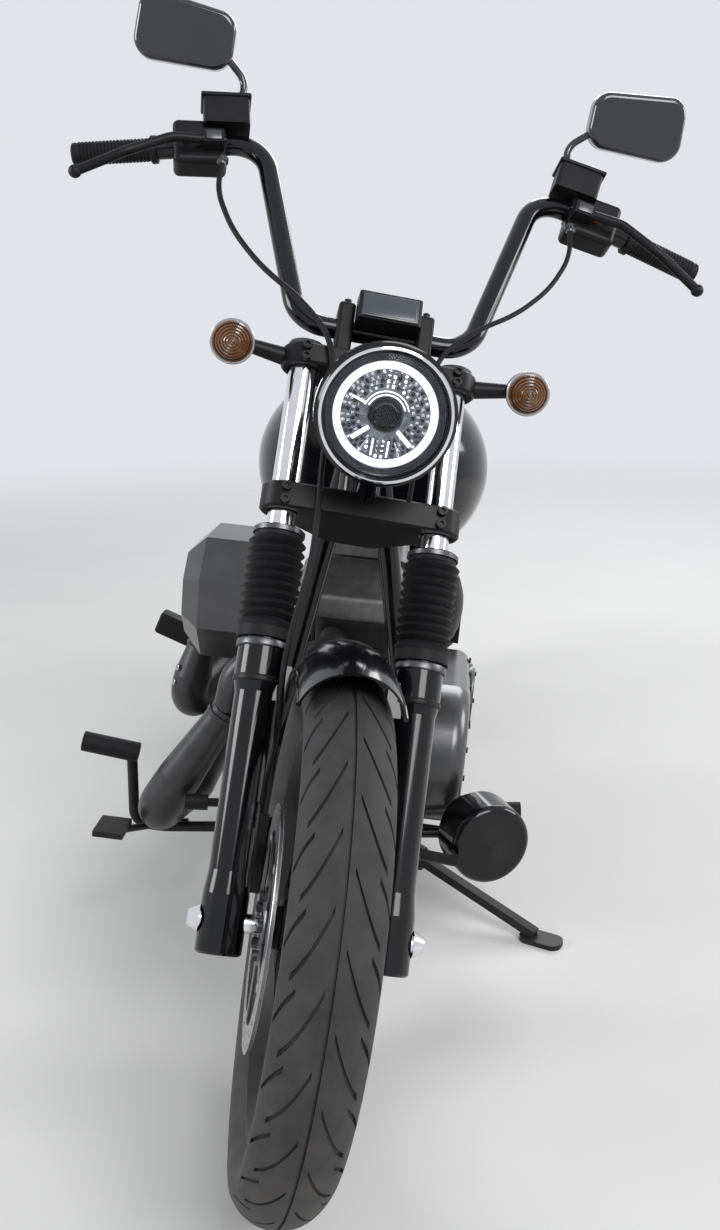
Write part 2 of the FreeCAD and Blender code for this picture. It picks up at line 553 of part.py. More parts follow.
clampTop = size["upper_clamp_z"] + size["upper_clamp_tall"] / 2
riserFront = -73
riser = Part.makeBox(size["riser_wide"], 42, size["riser_tall"], V(size["riser_x"], riserFront, clampTop))
riser = riser.makeFillet(6, [edge for edge in riser.Edges if edge.BoundBox.ZLength > 50 or edge.BoundBox.ZMin > clampTop + 1])
riser = riser.cut(barRoom)
risers = [feature("riser_left", riser), feature("riser_right", twice(riser))]
keep(fused("upper_clamp", [upperPlate] + risers, steered), "steering")
gaugeHigh = clampTop + size["riser_tall"] + 2
gauge = prism("instrument", "YZ_Plane", [
    (str(riserFront - 33), str(gaugeHigh)), (str(riserFront - 38), "%g - Sizes.gauge_tall" % gaugeHigh),
    (str(riserFront + 5), "%g - Sizes.gauge_tall" % gaugeHigh), (str(riserFront + 5), str(gaugeHigh + 4))],
    "Sizes.riser_x * 2 - 0.6", middle=True, placement=steered)
round_(gauge, "Chamfer", "3", lambda edge: edge.BoundBox.XLength < 0.1 and edge.BoundBox.YMax < riserFront)
keep(gauge, "steering")

signalTurn = FreeCAD.Rotation(acrossAxis, size["rake_angle"]).multiply(FreeCAD.Rotation(upAxis, -90))


def signal(label, spot, turn, stalkFrom, stalkWide, seat, placement):
    shellBody = revolved(label + "_bowl", [
        ("-Sizes.signal_length * 0.6", "0"), ("-Sizes.signal_length * 0.6", "8", "60", -1),
        ("0", "Sizes.signal_radius"), ("8", "Sizes.signal_radius"), ("8", "0")],
        placement=FreeCAD.Placement(spot, turn))
    stalkTo = spot + turn.multVec(V(-16, 0, 0))
    stalkWay = stalkTo - stalkFrom
    stalk = feature(label + "_stalk", Part.makeCone(stalkWide, 8.6, stalkWay.Length, stalkFrom, stalkWay).cut(seat))
    lens = revolved(label + "_lens", [
        ("7", "0"), ("7", "Sizes.signal_radius - 2"), ("13", "Sizes.signal_radius - 3", "40", 1), ("22", "3"), ("22", "0")],
        placement=FreeCAD.Placement(spot, turn))
    return pair(label + "s", fused(label + "_side", [shellBody, stalk, lens]), placement)


frontSpot = V(size["signal_x"], -90, size["upper_clamp_z"] - 2)
clampEnd = V(size["fork_half"], -size["fork_offset"], 0)
clampRound = rod(clampEnd + V(0, 0, size["upper_clamp_z"] - 100), clampEnd + V(0, 0, size["upper_clamp_z"] + 100),
                 size["tube_radius"] + size["clamp_wall"] + 0.3)
stalkFoot = clampEnd + V(20, 0, size["upper_clamp_z"])
keep(signal("front_signal", frontSpot, signalTurn, stalkFoot, 13, clampRound, steered), "steering")
rearSpot = V(172, 1696, 606)
rearTurn = FreeCAD.Rotation(upAxis, 90)
strutX = size["rear_fender_half"] + size["fender_skin"] + 10.3
cradleX, tubeR = size["cradle_half"], size["frame_tube"]
strutLift = size["seat_top"] - size["seat_thick"] - 10.3
strutPoints = [V(cradleX, size["pivot_y"] + tubeR - 4, strutLift - 14), V(cradleX - 2, 1150, strutLift), V(strutX, 1262, strutLift),
               V(strutX, 1470, 631), V(strutX, 1730, 631)]
strutRoom = bentRod(strutPoints, [60, 60, 60], 10.3)
keep(signal("rear_signal", rearSpot, rearTurn, V(strutX, 1690, 631), 9.6, strutRoom, stance), "frame")

# Front caliper astride the disc, on the back of the right leg
discX = -size["front_disc_x"]
caliper = Part.makeBox(46, 66, 104, V(discX - 25, 36, 38))
caliper = caliper.makeFillet(8, [edge for edge in caliper.Edges if edge.BoundBox.ZLength > 60])
slot = Part.makeBox(size["disc_thick"] + 2 * size["pad_gap"], 150, 140,
                    V(discX - size["disc_thick"] / 2 - size["pad_gap"], -64, 20))
arm = Part.makeBox(22, 100, 44, V(discX - 42, -52, 60))
legRound = rod(V(-size["fork_half"], -size["fork_offset"], -60), V(-size["fork_half"], -size["fork_offset"], 420),
               size["slider_radius"] - 2.5)
frontCaliper = merged([caliper, arm]).cut(slot).cut(legRound)
keep(feature("front_caliper", frontCaliper, steered), "steering")

# Brake hose down the right leg and clutch cable to its guide on the lower clamp
hosePoints = [V(-262, -20, 1062), V(-262, -32, 1002), V(-232, -52, 934), V(-182, -74, 872), V(-124, -94, 826),
              V(-76, -104, 775), V(-62, -106, 700), V(-64, -104, 615), V(-60, -105, 530), V(-59, -109, 455),
              V(-70, -108, 385), V(-76, -100, 320), V(-72, -88, 262), V(-69, -48, 226), V(-69, 10, 210),
              V(-69, 56, 192), V(-69, 66, 136)]
cablePoints = [V(262, -20, 1062), V(262, -32, 1002), V(232, -52, 934), V(182, -74, 872), V(124, -94, 826),
               V(76, -104, 775), V(62, -106, 715), V(60, -104, 655), V(60, -98, 610), V(60, -84, 560)]


def cord(points, radius):
    bends = []
    for before, corner, after in zip(points, points[1:], points[2:]):
        turn = (corner - before).getAngle(after - corner)
        bends.append(0.45 * min((corner - before).Length, (after - corner).Length) / math.tan(turn / 2))
    print("bends", *[round(bend) for bend in bends])
    return bentRod(points, bends, radius)


hose = cord(hosePoints, size["hose_radius"]).cut(twice(control)).cut(frontCaliper)
underGuide = Part.makeBox(60, 60, 40, V(30, -110, size["lower_clamp_z"] + size["lower_clamp_tall"] / 2 - 39.7))
cable = cord(cablePoints, size["cable_radius"]).cut(control).cut(underGuide)
keep(feature("brake_hose", hose, steered), "steering")
keep(feature("clutch_cable", cable, steered), "steering")

# Frame: head tube and backbone, cradles, seat rails with fender struts
headLow = forkFrame.multVec(V(0, 0, size["lower_clamp_z"] + size["lower_clamp_tall"] / 2 + 1))
headHigh = forkFrame.multVec(V(0, 0, size["upper_clamp_z"] - size["upper_clamp_tall"] / 2 - 1))
headMiddle = headLow * 0.26 + headHigh * 0.74
headWay = (headHigh - headLow).normalize()
cradleZ = size["cradle_z"]
backEnd, backboneR = V(0, 886, 714), 23
stemHole = rod(headLow - headWay * 20, headHigh + headWay * 20, size["stem_radius"] + 0.3)
backPoints = [headMiddle, backEnd, V(0, 958, 622), V(0, size["pivot_y"], 600)]
upright = rod(V(cradleX, size["pivot_y"], cradleZ), V(cradleX, size["pivot_y"], 660), tubeR + 0.3)
crossTube = rod(V(-cradleX, size["pivot_y"], 600), V(cradleX, size["pivot_y"], 600), 18).cut([upright, twice(upright)])
backbone = merged([rod(headLow, headHigh, size["head_radius"]), bentRod(backPoints, [50, 60], backboneR), crossTube]).cut(stemHole)
keep(feature("frame_backbone", backbone, stance), "frame")
cradleTop = forkFrame.multVec(V(20, 14, size["upper_clamp_z"] - 84))
cradlePoints = [cradleTop, V(cradleX - 22, 438, 470), V(cradleX, 486, cradleZ),
                V(cradleX, size["pivot_y"], cradleZ), V(cradleX, size["pivot_y"], 640)]
headRound = rod(headLow - headWay * 40, headHigh, size["head_radius"] + 0.3)
cradleLeft = bentRod(cradlePoints, [160, 90, 80], tubeR).cut(headRound)
cradleRoom = bentRod(cradlePoints, [160, 90, 80], tubeR + 0.3)
cradleRooms = [cradleRoom, twice(cradleRoom)]
tailCrown = size["rear_radius"] + size["fender_gap"] + size["fender_skin"]
tailDrop, tailHalf = size["fender_drop"] + size["fender_skin"], size["rear_fender_half"] + size["fender_skin"]
tailBow = (tailHalf ** 2 + tailDrop ** 2) / (2 * tailDrop)
fenderRoom = Part.makeTorus(tailCrown - tailBow, tailBow + 0.3, V(0, size["wheelbase"], size["rear_radius"]), acrossAxis)
bosses = [rod(V(strutX, y, 631), V(strutX - 40, y, 631), 9).cut(fenderRoom) for y in (1510, 1660)]
strut = merged([bentRod(strutPoints, [60, 60, 60], 10)] + bosses).cut(upright)
keep(together("fender_struts", [feature("strut_left", strut), feature("strut_right", twice(strut))], stance), "frame")

armX = size["swingarm_half"]
armTube = size["swingarm_tube"]
armLeft = merged([
    bentRod([V(84, size["pivot_y"], size["pivot_z"]), V(armX - 9, 1196, size["pivot_z"] - 1),
             V(armX, size["wheelbase"], size["rear_radius"])], [200], armTube),
    bentRod([V(72, 1108, 560), V(armX, 1240, 500), V(armX, size["wheelbase"], size["rear_radius"])], [160], armTube - 2),
    Part.makeBox(14, 84, 76, V(armX - 7, size["wheelbase"] - 42, size["rear_radius"] - 38))])
armLeft = armLeft.cut(rod(V(0, size["wheelbase"], size["rear_radius"]), V(200, size["wheelbase"], size["rear_radius"]),
                          size["axle_radius"] + 0.3))
armLeft = armLeft.cut(upright)
armCross = rod(V(-74, 1108, 560), V(74, 1108, 560), armTube)
pivotTube = rod(V(-cradleX, size["pivot_y"], size["pivot_z"]), V(cradleX, size["pivot_y"], size["pivot_z"]), 20)
pivotTube = pivotTube.cut([upright, twice(upright)])
keep(feature("swingarm", merged([armLeft, twice(armLeft), armCross, pivotTube]), stance), "frame")
rearEnd = "Sizes.swingarm_half + Sizes.swingarm_tube"
keep(revolved("rear_axle", [
    ("-(%s) - 14" % rearEnd, "0"), ("-(%s) - 14" % rearEnd, "12"), ("-(%s) - 0.3" % rearEnd, "20"),
    ("-(%s) - 0.3" % rearEnd, "Sizes.axle_radius"), ("%s + 0.3" % rearEnd, "Sizes.axle_radius"),
    ("%s + 0.3" % rearEnd, "20"), ("%s + 14" % rearEnd, "12"), ("%s + 14" % rearEnd, "0")],
    placement=rearPlace), "frame")

# Engine: case, finned cylinders, rocker boxes, side covers
half = size["case_half"]
deckLow = ["Sizes.crank_z + Sizes.barrel_start * cos(Sizes.vee_angle) - Sizes.fin_half * sin(Sizes.vee_angle)",
           "Sizes.barrel_start * sin(Sizes.vee_angle) + Sizes.fin_half * cos(Sizes.vee_angle)"]
ridge = "Sizes.crank_z + Sizes.barrel_start / cos(Sizes.vee_angle)"
crankcase = prism("case_middle", "YZ_Plane", [
    ("Sizes.crank_y - 122", "Sizes.cradle_z + 50", "60", 1), ("Sizes.crank_y - 76", "Sizes.cradle_z + Sizes.frame_tube + 2"),
    ("Sizes.crank_y + 200", "Sizes.cradle_z + Sizes.frame_tube + 2", "120", 1), ("Sizes.crank_y + 300", "Sizes.cradle_z + 60"),
    ("Sizes.crank_y + 312", "Sizes.crank_z + 90", "90", 1), ("Sizes.crank_y + 240", "Sizes.crank_z + 132"),
    ("Sizes.crank_y + %s" % deckLow[1], deckLow[0]), ("Sizes.crank_y", ridge),
    ("Sizes.crank_y - (%s)" % deckLow[1], deckLow[0])], "Sizes.case_half * 2", middle=True)


def cylinder(label, angle):
    base = turned(acrossAxis, angle, 0, size["crank_y"], size["crank_z"])
    body = add("PartDesign::Body", label, base.multiply(turned(upAxis, 0, 0, 0, size["barrel_start"] + 0.3)))
    pad(body, circleIn(body, "XY_Plane", "Sizes.barrel_radius"), "Sizes.fin_count * Sizes.fin_pitch")
    corner, edge = "Sizes.fin_half - 18", "Sizes.fin_half"
    block = [("-(%s)" % corner, "-%s" % edge), (corner, "-%s" % edge, "18", 1), (edge, "-(%s)" % corner),
             (edge, corner, "18", 1), (corner, edge), ("-(%s)" % corner, edge, "18", 1),
             ("-%s" % edge, corner), ("-%s" % edge, "-(%s)" % corner, "18", 1)]
    fin = pad(body, outline(body, "XY_Plane", block), "Sizes.fin_thick")
    doc.recompute()
    fins = body.newObject("PartDesign::LinearPattern", label + "_fins")
    fins.Originals = [fin]
    fins.Direction = (fin.Profile[0], ["N_Axis"])
    fins.setExpression("Length", "(Sizes.fin_count - 1) * Sizes.fin_pitch")
    fins.Occurrences = int(size["fin_count"])
    body.Tip = fins
    head = outline(body, "XY_Plane", block)
    head.setExpression("AttachmentOffset.Base.z", "Sizes.fin_count * Sizes.fin_pitch")
    pad(body, head, "Sizes.head_tall")
    return body


rockers, cylinders, rockerShapes = [], [], []
for label, angle in (("front_cylinder", size["vee_angle"]), ("rear_cylinder", -size["vee_angle"])):
    cylinders.append(cylinder(label, angle))
    top = size["barrel_start"] + size["fin_count"] * size["fin_pitch"] + size["head_tall"] + 0.6
    wide = size["fin_half"]
    cover = Part.makeBox(2 * wide + 34, 2 * wide - 12, size["rocker_tall"], V(-wide - 31, -wide + 6, top))
    cover = cover.makeFillet(22, [edge for edge in cover.Edges if edge.BoundBox.ZLength > 20])
    cover = cover.makeFillet(9, [edge for edge in cover.Edges if edge.BoundBox.ZMin > top + 20])
    rocker = feature(label + "_rocker", cover)
    rocker.Placement = turned(acrossAxis, angle, 0, size["crank_y"], size["crank_z"])
    rockerShapes.append(rocker.Shape)
    rockers.append(rocker)
keep(together("cylinders", cylinders, stance), "frame")
keep(together("rocker_boxes", rockers, stance), "frame")

rearY, rearZ = "Sizes.primary_back_y", "Sizes.crank_z + 6"
beltFace = size["belt_x"] - size["belt_width"] / 2 - 3
beltRoomY = size["drive_y"] - size["drive_radius"] - 6


def primaryOutline(inset):
    front, rear = "(Sizes.primary_front - %s)" % inset, "(Sizes.primary_rear - %s)" % inset
    return [("Sizes.crank_y", "Sizes.crank_z - %s" % front), (rearY, "%s - %s" % (rearZ, rear), rear, 1),
            ("%s + %s" % (rearY, rear), rearZ, rear, 1), (rearY, "%s + %s" % (rearZ, rear)),
            ("Sizes.crank_y", "Sizes.crank_z + %s" % front, front, 1), ("Sizes.crank_y - %s" % front, "Sizes.crank_z", front, 1)]


# The primary case stands outside the frame tube on a narrower neck
outside = "Sizes.cradle_half + Sizes.frame_tube + 1"
neckCase = prism("primary_neck", "YZ_Plane", primaryOutline("Sizes.neck_inset"), outside + " - Sizes.case_half",
                 placement=turned(upAxis, 0, size["case_half"] + 0.3))
primary = prism("primary_case", "YZ_Plane", primaryOutline("0"), "Sizes.primary_thick",
                placement=turned(upAxis, 0, number(outside)))
round_(primary, "Fillet", "26", lambda edge: edge.BoundBox.XMin > size["primary_thick"] - 1)
coverTurn = turned(upAxis, 0, number(outside) + size["primary_thick"] - 1, size["primary_back_y"], size["crank_z"] + 6)
clutch = revolved("clutch_cover", [
    ("0", "0"), ("0", "Sizes.clutch_radius"), ("8", "Sizes.clutch_radius", "8", 1), ("14", "Sizes.clutch_radius - 9"),
    ("14", "0")], placement=coverTurn)
primaryWhole = fused("primary_whole", [neckCase, primary, clutch])
beltRoom = feature("belt_room", Part.makeBox(size["belt_x"] + size["belt_width"] / 2 + 0.7 - beltFace, 140, 200,
                                             V(beltFace, beltRoomY, size["pivot_z"] - 108)))
keep(lessThan("primary_cover", primaryWhole, beltRoom, stance), "frame")
cam = prism("cam_cover", "YZ_Plane", [
    ("Sizes.crank_y - 60", "Sizes.crank_z - 92", "96", -1), ("Sizes.crank_y + 60", "Sizes.crank_z - 92"),
    ("Sizes.crank_y + 118", "Sizes.crank_z - 20"), ("Sizes.crank_y + 84", "Sizes.crank_z + 96"),
    ("Sizes.crank_y - 84", "Sizes.crank_z + 96"), ("Sizes.crank_y - 112", "Sizes.crank_z - 20")],
    "Sizes.cam_thick", back=True, placement=turned(upAxis, 0, -size["case_half"] + 1))
round_(cam, "Chamfer", "12", lambda edge: edge.BoundBox.XMax < -size["cam_thick"] + 1)
keep(lessThan("crankcase", fused("case_whole", [crankcase, cam]), beltRoom, stance), "frame")
pushrods = []
topReach = size["barrel_start"] + size["fin_count"] * size["fin_pitch"] + size["head_tall"]
for angle in (math.radians(size["vee_angle"]), -math.radians(size["vee_angle"])):
    for step in (-20, 20):
        foot = V(-half - 28, size["crank_y"] - math.copysign(44, angle) + step, size["crank_z"] + 88)
        crown = V(-size["fin_half"] - 16, size["crank_y"] - math.sin(angle) * topReach + step,
                  size["crank_z"] + math.cos(angle) * topReach + 12)
        pushrods.append(rod(foot, crown, 10))
underCam = Part.makeBox(90, 300, 60, V(-half - 70, size["crank_y"] - 150, size["crank_z"] + 36.3))
pushrodSet = [tube.cut(underCam).cut(rockerShapes) for tube in pushrods]
keep(feature("pushrod_tubes", Part.makeCompound(pushrodSet), stance), "frame")

# Intake and air cleaner on the right
blocks = []
for angle in (size["vee_angle"], -size["vee_angle"]):
    reach = size["fin_half"] + 0.3
    block = Part.makeBox(2 * reach, 2 * reach, 420, V(-reach, -reach, 0))
    block.Placement = turned(acrossAxis, angle, 0, size["crank_y"], size["crank_z"])
    blocks.append(block)
hexHalf, hexLong = "Sizes.cleaner_tall / 2", "Sizes.cleaner_long / 2"
cleaner = prism("cleaner_box", "YZ_Plane", [
    ("Sizes.cleaner_y - %s" % hexLong, "Sizes.cleaner_z - %s * 0.4" % hexHalf), ("Sizes.cleaner_y - %s * 0.55" % hexLong, "Sizes.cleaner_z - %s" % hexHalf),
    ("Sizes.cleaner_y + %s * 0.55" % hexLong, "Sizes.cleaner_z - %s" % hexHalf), ("Sizes.cleaner_y + %s" % hexLong, "Sizes.cleaner_z - %s * 0.4" % hexHalf),
    ("Sizes.cleaner_y + %s" % hexLong, "Sizes.cleaner_z + %s * 0.4" % hexHalf), ("Sizes.cleaner_y + %s * 0.55" % hexLong, "Sizes.cleaner_z + %s" % hexHalf),
    ("Sizes.cleaner_y - %s * 0.55" % hexLong, "Sizes.cleaner_z + %s" % hexHalf), ("Sizes.cleaner_y - %s" % hexLong, "Sizes.cleaner_z + %s * 0.4" % hexHalf)],
    "Sizes.cleaner_thick", back=True, placement=turned(upAxis, 0, -size["case_half"] - size["cleaner_gap"]))
round_(cleaner, "Chamfer", "Sizes.cleaner_chamfer", lambda edge: edge.BoundBox.XMax < -size["cleaner_thick"] + 1)
neck = feature("cleaner_neck", rod(V(-half - size["cleaner_gap"] - 1, size["crank_y"], size["cleaner_z"] + 24),
                                   V(-10, size["crank_y"], size["cleaner_z"] + 24), 26))
manifold = feature("manifold", rod(V(-22, size["crank_y"] - 70, size["cleaner_z"] + 24),
                                   V(-22, size["crank_y"] + 70, size["cleaner_z"] + 24), 20).cut(blocks))
keep(fused("air_cleaner", [cleaner, neck, manifold], stance), "frame")

# Horn cover on the left, between the cylinders
horn = revolved("horn_dome", [("0", "0"), ("0", "46"), ("14", "46", "60", 1), ("42", "6"), ("42", "0")])
horn.Placement = turned(upAxis, 0, 128, size["crank_y"] - 10, 570)
stayPlate = Part.makeBox(24, 140, 26, V(20, size["crank_y"] - 70, 557)).cut(blocks)
hornStay = feature("horn_stay", merged([stayPlate, Part.makeBox(112, 30, 26, V(20, size["crank_y"] - 25, 557))]))
keep(fused("horn_cover", [horn, hornStay], stance), "frame")

# Exhaust on the right
vee = math.radians(size["vee_angle"])
portReach = size["barrel_start"] + size["fin_count"] * size["fin_pitch"] + size["head_tall"] / 2
portSide, portOut = size["fin_half"] + 0.6, 40


# A point straight out of the head's outer face, facing -1 forward or 1 rearward
def port(across, facing, out):
    return V(across, size["crank_y"] + facing * (math.sin(vee) * portReach + math.cos(vee) * (portSide + out)),
             size["crank_z"] + math.cos(vee) * portReach - math.sin(vee) * (portSide + out))


# Slim pipe from the head, a widening shield down to the elbow and a full run to the muffler
def shielded(points, bends, elbow, back, label):
    joint, foot = points[-1], elbow[0]
    way = foot - joint
    collar = rod(joint + way * 0.06, joint + way * 0.11, size["pipe_radius"] + 5)
    cone = Part.makeCone(size["pipe_radius"] + 1.5, size["header_radius"], way.Length, joint, way)
    return feature(label, merged([bentRod(points, bends, size["pipe_radius"]), collar, cone,
                                  bentRod(elbow, back, size["header_radius"])]))


frontElbow = [V(-258, 483, 292), V(-306, 490, 206), V(-266, 640, 205), V(-266, 1000, 205)]
frontWay = (frontElbow[1] - frontElbow[0]).normalize()
frontPipe = [port(-30, -1, 0), port(-30, -1, portOut), V(-176, 476, 498), frontElbow[0] - frontWay * 150]
rearElbow = [V(-322, 852, 330), V(-336, 848, 258), V(-290, 1000, 292), V(-266, 1062, 302), V(-266, 1110, 302)]
rearWay = (rearElbow[1] - rearElbow[0]).normalize()
rearPipe = [port(-45, 1, 0), port(-45, 1, portOut), rearElbow[0] - rearWay * 150, rearElbow[0] - rearWay * 70]
pipes = [shielded(frontPipe, [36, 50], frontElbow, [50, 90], "front_pipe"),
         shielded(rearPipe, [36, 44], rearElbow, [44, 90, 60], "rear_pipe")]
keep(together("exhaust_pipes", pipes, stance), "frame")
mufflerRows = [("0.3", "0"), ("0.3", "Sizes.header_radius"), ("60", "Sizes.muffler_radius"),
               ("Sizes.muffler_length", "Sizes.muffler_radius"), ("Sizes.muffler_length", "Sizes.muffler_radius - 8"),
               ("Sizes.muffler_length - 60", "Sizes.muffler_radius - 8"), ("Sizes.muffler_length - 60", "0")]
mufflers = [revolved("muffler_low", mufflerRows, placement=turned(upAxis, 90, -266, 1000, 205)),
            revolved("muffler_high", mufflerRows, placement=turned(upAxis, 90, -266, 1110, 302))]
keep(together("mufflers", mufflers, stance), "frame")

# Fuel tank: sections across the backbone, y, half width, low, widest and top
def tankSection(y, wide, low, middle, top):
    shoulder = V(wide * 0.62, y, top - (top - middle) * 0.22)
    foot = V(wide * 0.84, y, low)
    waist = V(wide, y, middle)
    crown = V(0, y, top)
    return Part.Wire([
        Part.LineSegment(flip(foot), foot).toShape(), Part.Arc(foot, waist, shoulder).toShape(),
        Part.Arc(shoulder, crown, flip(shoulder)).toShape(), Part.Arc(flip(shoulder), flip(waist), flip(foot)).toShape()])


tankLength = size["tank_rear_y"] - size["tank_front_y"]
tankRows = [(0, 0.66, 26, 0.5, -20), (0.2, 0.96, 0, 0.42, 0), (0.5, 0.93, 0, 0.42, -12), (0.8, 0.62, 4, 0.44, -58),
            (1, 0.34, 14, 0.46, -112)]
sections = []
for share, wide, lift, middle, drop in tankRows:
    low, top = size["tank_floor"] + lift, size["tank_top"] + drop
    sections.append(tankSection(size["tank_front_y"] + share * tankLength, wide * size["tank_half"], low,
                                low + (top - low) * middle, top))
tank = Part.makeLoft(sections, True, False)
tunnelWay = (backEnd - headMiddle).normalize()
tunnel = rod(headMiddle, backEnd + tunnelWay * 60, backboneR + 0.3)
slotBox = Part.Face(Part.makePolygon([headMiddle + V(-30, 0, 0), backEnd + V(-30, 60, -16), backEnd + V(-30, 60, -200),
                                      V(-30, headMiddle.y, 500), headMiddle + V(-30, 0, 0)])).extrude(V(60, 0, 0))
fuelTank = keep(feature("fuel_tank", tank.cut(tunnel).cut(slotBox), stance), "frame")
capPlace = stance.multiply(turned(rearAxis, -90, 0, size["tank_front_y"] + 0.34 * tankLength, size["tank_top"] - 8))
cap = revolved("cap_round", [("0", "0"), ("0", "38"), ("16", "38", "8", 1), ("22", "30"), ("24", "0")], placement=capPlace)
keep(lessThan("fuel_cap", cap, feature("tank_form", fuelTank.Shape)), "frame")

# Seat, with the pan under it
seatTop, seatLow = "Sizes.seat_top", "Sizes.seat_top - Sizes.seat_thick"
seatBlock = prism("seat_block", "YZ_Plane", [
    ("Sizes.seat_front_y", "%s + 10" % seatLow), ("Sizes.seat_front_y + 90", seatLow), ("Sizes.seat_rear_y - 150", seatLow),
    ("Sizes.seat_rear_y", "%s + 26" % seatLow), ("Sizes.seat_rear_y + 4", "%s + 34" % seatTop, "26", 1),
    ("Sizes.seat_rear_y - 30", "%s + 48" % seatTop), ("Sizes.seat_rear_y - 140", "%s + 30" % seatTop, "190", -1),
    ("Sizes.seat_front_y + 110", "%s - 10" % seatTop, "210", -1), ("Sizes.seat_front_y", "%s + 28" % seatTop)],
    "Sizes.seat_half * 2", middle=True)
backRoom = feature("back_room", bentRod(backPoints, [50, 60], backboneR + 0.3))
keep(lessThan("seat", seatBlock, backRoom, stance), "frame")

# Closed box behind the engine with its side covers
batteryBox = Part.makeBox(154, 84, 96, V(-77, 958, 460))
panel = Part.makeBox(14, 94, 180, V(76, 949, 440))
panel = panel.makeFillet(26, [edge for edge in panel.Edges if edge.BoundBox.XLength > 10])
panel = panel.makeFillet(6, [edge for edge in panel.Edges if edge.BoundBox.XMin > 89])
boxTab = Part.makeBox(40, 30, 40, V(-20, 1000, 550)).cut(bentRod(backPoints, [50, 60], backboneR + 0.3))
keep(feature("side_covers", merged([panel, twice(panel), batteryBox, boxTab]), stance), "frame")
fins = [Part.makeBox(96, 22, 5, V(-48, 404, 300 + 12 * index)) for index in range(8)]
bracketBar = Part.makeBox(2 * cradleX, 8, 26, V(-cradleX, 452, 334)).cut(cradleRooms)
keep(feature("voltage_regulator", merged(fins + [Part.makeBox(96, 12, 94, V(-48, 424, 298)), Part.makeBox(40, 24, 20, V(-20, 430, 337)),
                                                 bracketBar]), stance), "frame")

# Belt round both pulleys: a fixed loop on the left
driveAt = V(0, size["drive_y"], size["pivot_z"] - 8)
drivePulley = feature("drive_pulley", rod(V(beltFace + 0.3, driveAt.y, driveAt.z), V(size["belt_x"] + size["belt_width"] / 2, driveAt.y, driveAt.z),
                                      size["drive_radius"] - 6))


def loop(small, large):
    gap = V(0, size["wheelbase"], size["rear_radius"]) - driveAt
    tilt = math.atan2(gap.z, gap.y)
    lap = math.asin((large - small) / gap.Length)
    spots = []
    for centre, radius, angle in ((driveAt, small, math.pi / 2 + lap), (driveAt, small, math.pi), (driveAt, small, -math.pi / 2 - lap),
                                  (driveAt + gap, large, -math.pi / 2 - lap), (driveAt + gap, large, 0), (driveAt + gap, large, math.pi / 2 + lap)):
        spots.append(centre + V(0, math.cos(angle + tilt), math.sin(angle + tilt)) * radius)
    return Part.Wire([Part.Arc(spots[0], spots[1], spots[2]).toShape(), Part.LineSegment(spots[2], spots[3]).toShape(),
                      Part.Arc(spots[3], spots[4], spots[5]).toShape(), Part.LineSegment(spots[5], spots[0]).toShape()])


inner = loop(size["drive_radius"] - 5.7, size["driven_radius"] + size["belt_gap"])
outer = loop(size["drive_radius"] - 5.7 + size["belt_thick"], size["driven_radius"] + size["belt_gap"] + size["belt_thick"])
belt = Part.Face(outer).extrude(V(size["belt_width"], 0, 0)).cut(Part.Face(inner).extrude(V(size["belt_width"], 0, 0)))
belt.translate(V(size["belt_x"] - size["belt_width"] / 2, 0, 0))
keep(together("drive_belt", [drivePulley, feature("belt_loop", belt)], stance), "frame")

# Foot controls
lowRail = rod(V(cradleX, 500, cradleZ), V(cradleX, 1000, cradleZ), tubeR + 0.3)
pegBar = bentRod([V(-cradleX - tubeR - 0.3, 575, cradleZ - 2), V(-300, 575, cradleZ - 24), V(-352, 566, cradleZ - 18), V(-358, 551, 296)],
                 [90, 30], 9)
pegRubber = rod(V(-346, 551, 292), V(-440, 545, 304), 17)
brakeArm = merged([bentRod([V(-262, 588, 156), V(-300, 585, 150), V(-352, 470, 186)], [20], 6),
                   Part.makeBox(50, 60, 10, V(-390, 440, 184))])
downTube = rod(cradlePoints[1], cradlePoints[2], tubeR + 0.3)
pivotBar = merged([rod(V(-108, 470, 266), V(-212, 448, 266), 7), rod(V(-204, 450, 266), V(-240, 442, 266), 13)]).cut(twice(downTube))
leftBar = merged([rod(V(cradleX + tubeR + 0.3, 668, cradleZ - 12), V(232, 668, cradleZ - 14), 8),
                  rod(V(228, 668, cradleZ - 14), V(232, 666, 198), 8)])
leftRubber = rod(V(222, 666, 204), V(316, 672, 214), 16)
shiftX = cradleX + tubeR
shifter = merged([bentRod([V(shiftX + 0.6, 548, cradleZ - 2), V(shiftX + 16, 540, cradleZ - 2), V(shiftX + 22, 462, 214)], [8], 6),
                  rod(V(shiftX + 16, 462, 214), V(shiftX + 76, 450, 216), 9)]).cut(lowRail)
rearPegX = cradleX + tubeR
rightRearArm = bentRod([V(-rearPegX + 8, 1062, 392), V(-240, 1050, 384), V(-322, 1018, 338)], [40], 10).cut(twice(upright))
rightRearPeg = Part.makeBox(126, 38, 46, V(-126, -19, -23))
rightRearPeg = rightRearPeg.makeFillet(7, rightRearPeg.Edges)
rightRearPeg.Placement = turned(rearAxis, 19, -312, 1014, 340)
leftRearArm = rod(V(rearPegX - 8, 1062, 392), V(168, 1056, 396), 10).cut(upright)
leftRearPeg = Part.makeBox(22, 34, 96, V(158, 1036, 396))
pegPieces = [("right_peg", pegRubber), ("left_peg", leftRubber), ("rear_right_peg", rightRearPeg), ("rear_left_peg", leftRearPeg)]
armPieces = [("right_arm", merged([pegBar, brakeArm]).cut(pegRubber)), ("pedal_pivot", pivotBar), ("left_arm", leftBar.cut(leftRubber)),
             ("shifter", shifter), ("rear_right_arm", rightRearArm.cut(rightRearPeg)), ("rear_left_arm", leftRearArm.cut(leftRearPeg))]
keep(together("footpegs", [feature(name, shape) for name, shape in pegPieces], stance), "frame")
keep(together("foot_controls", [feature(name, shape) for name, shape in armPieces], stance), "frame")

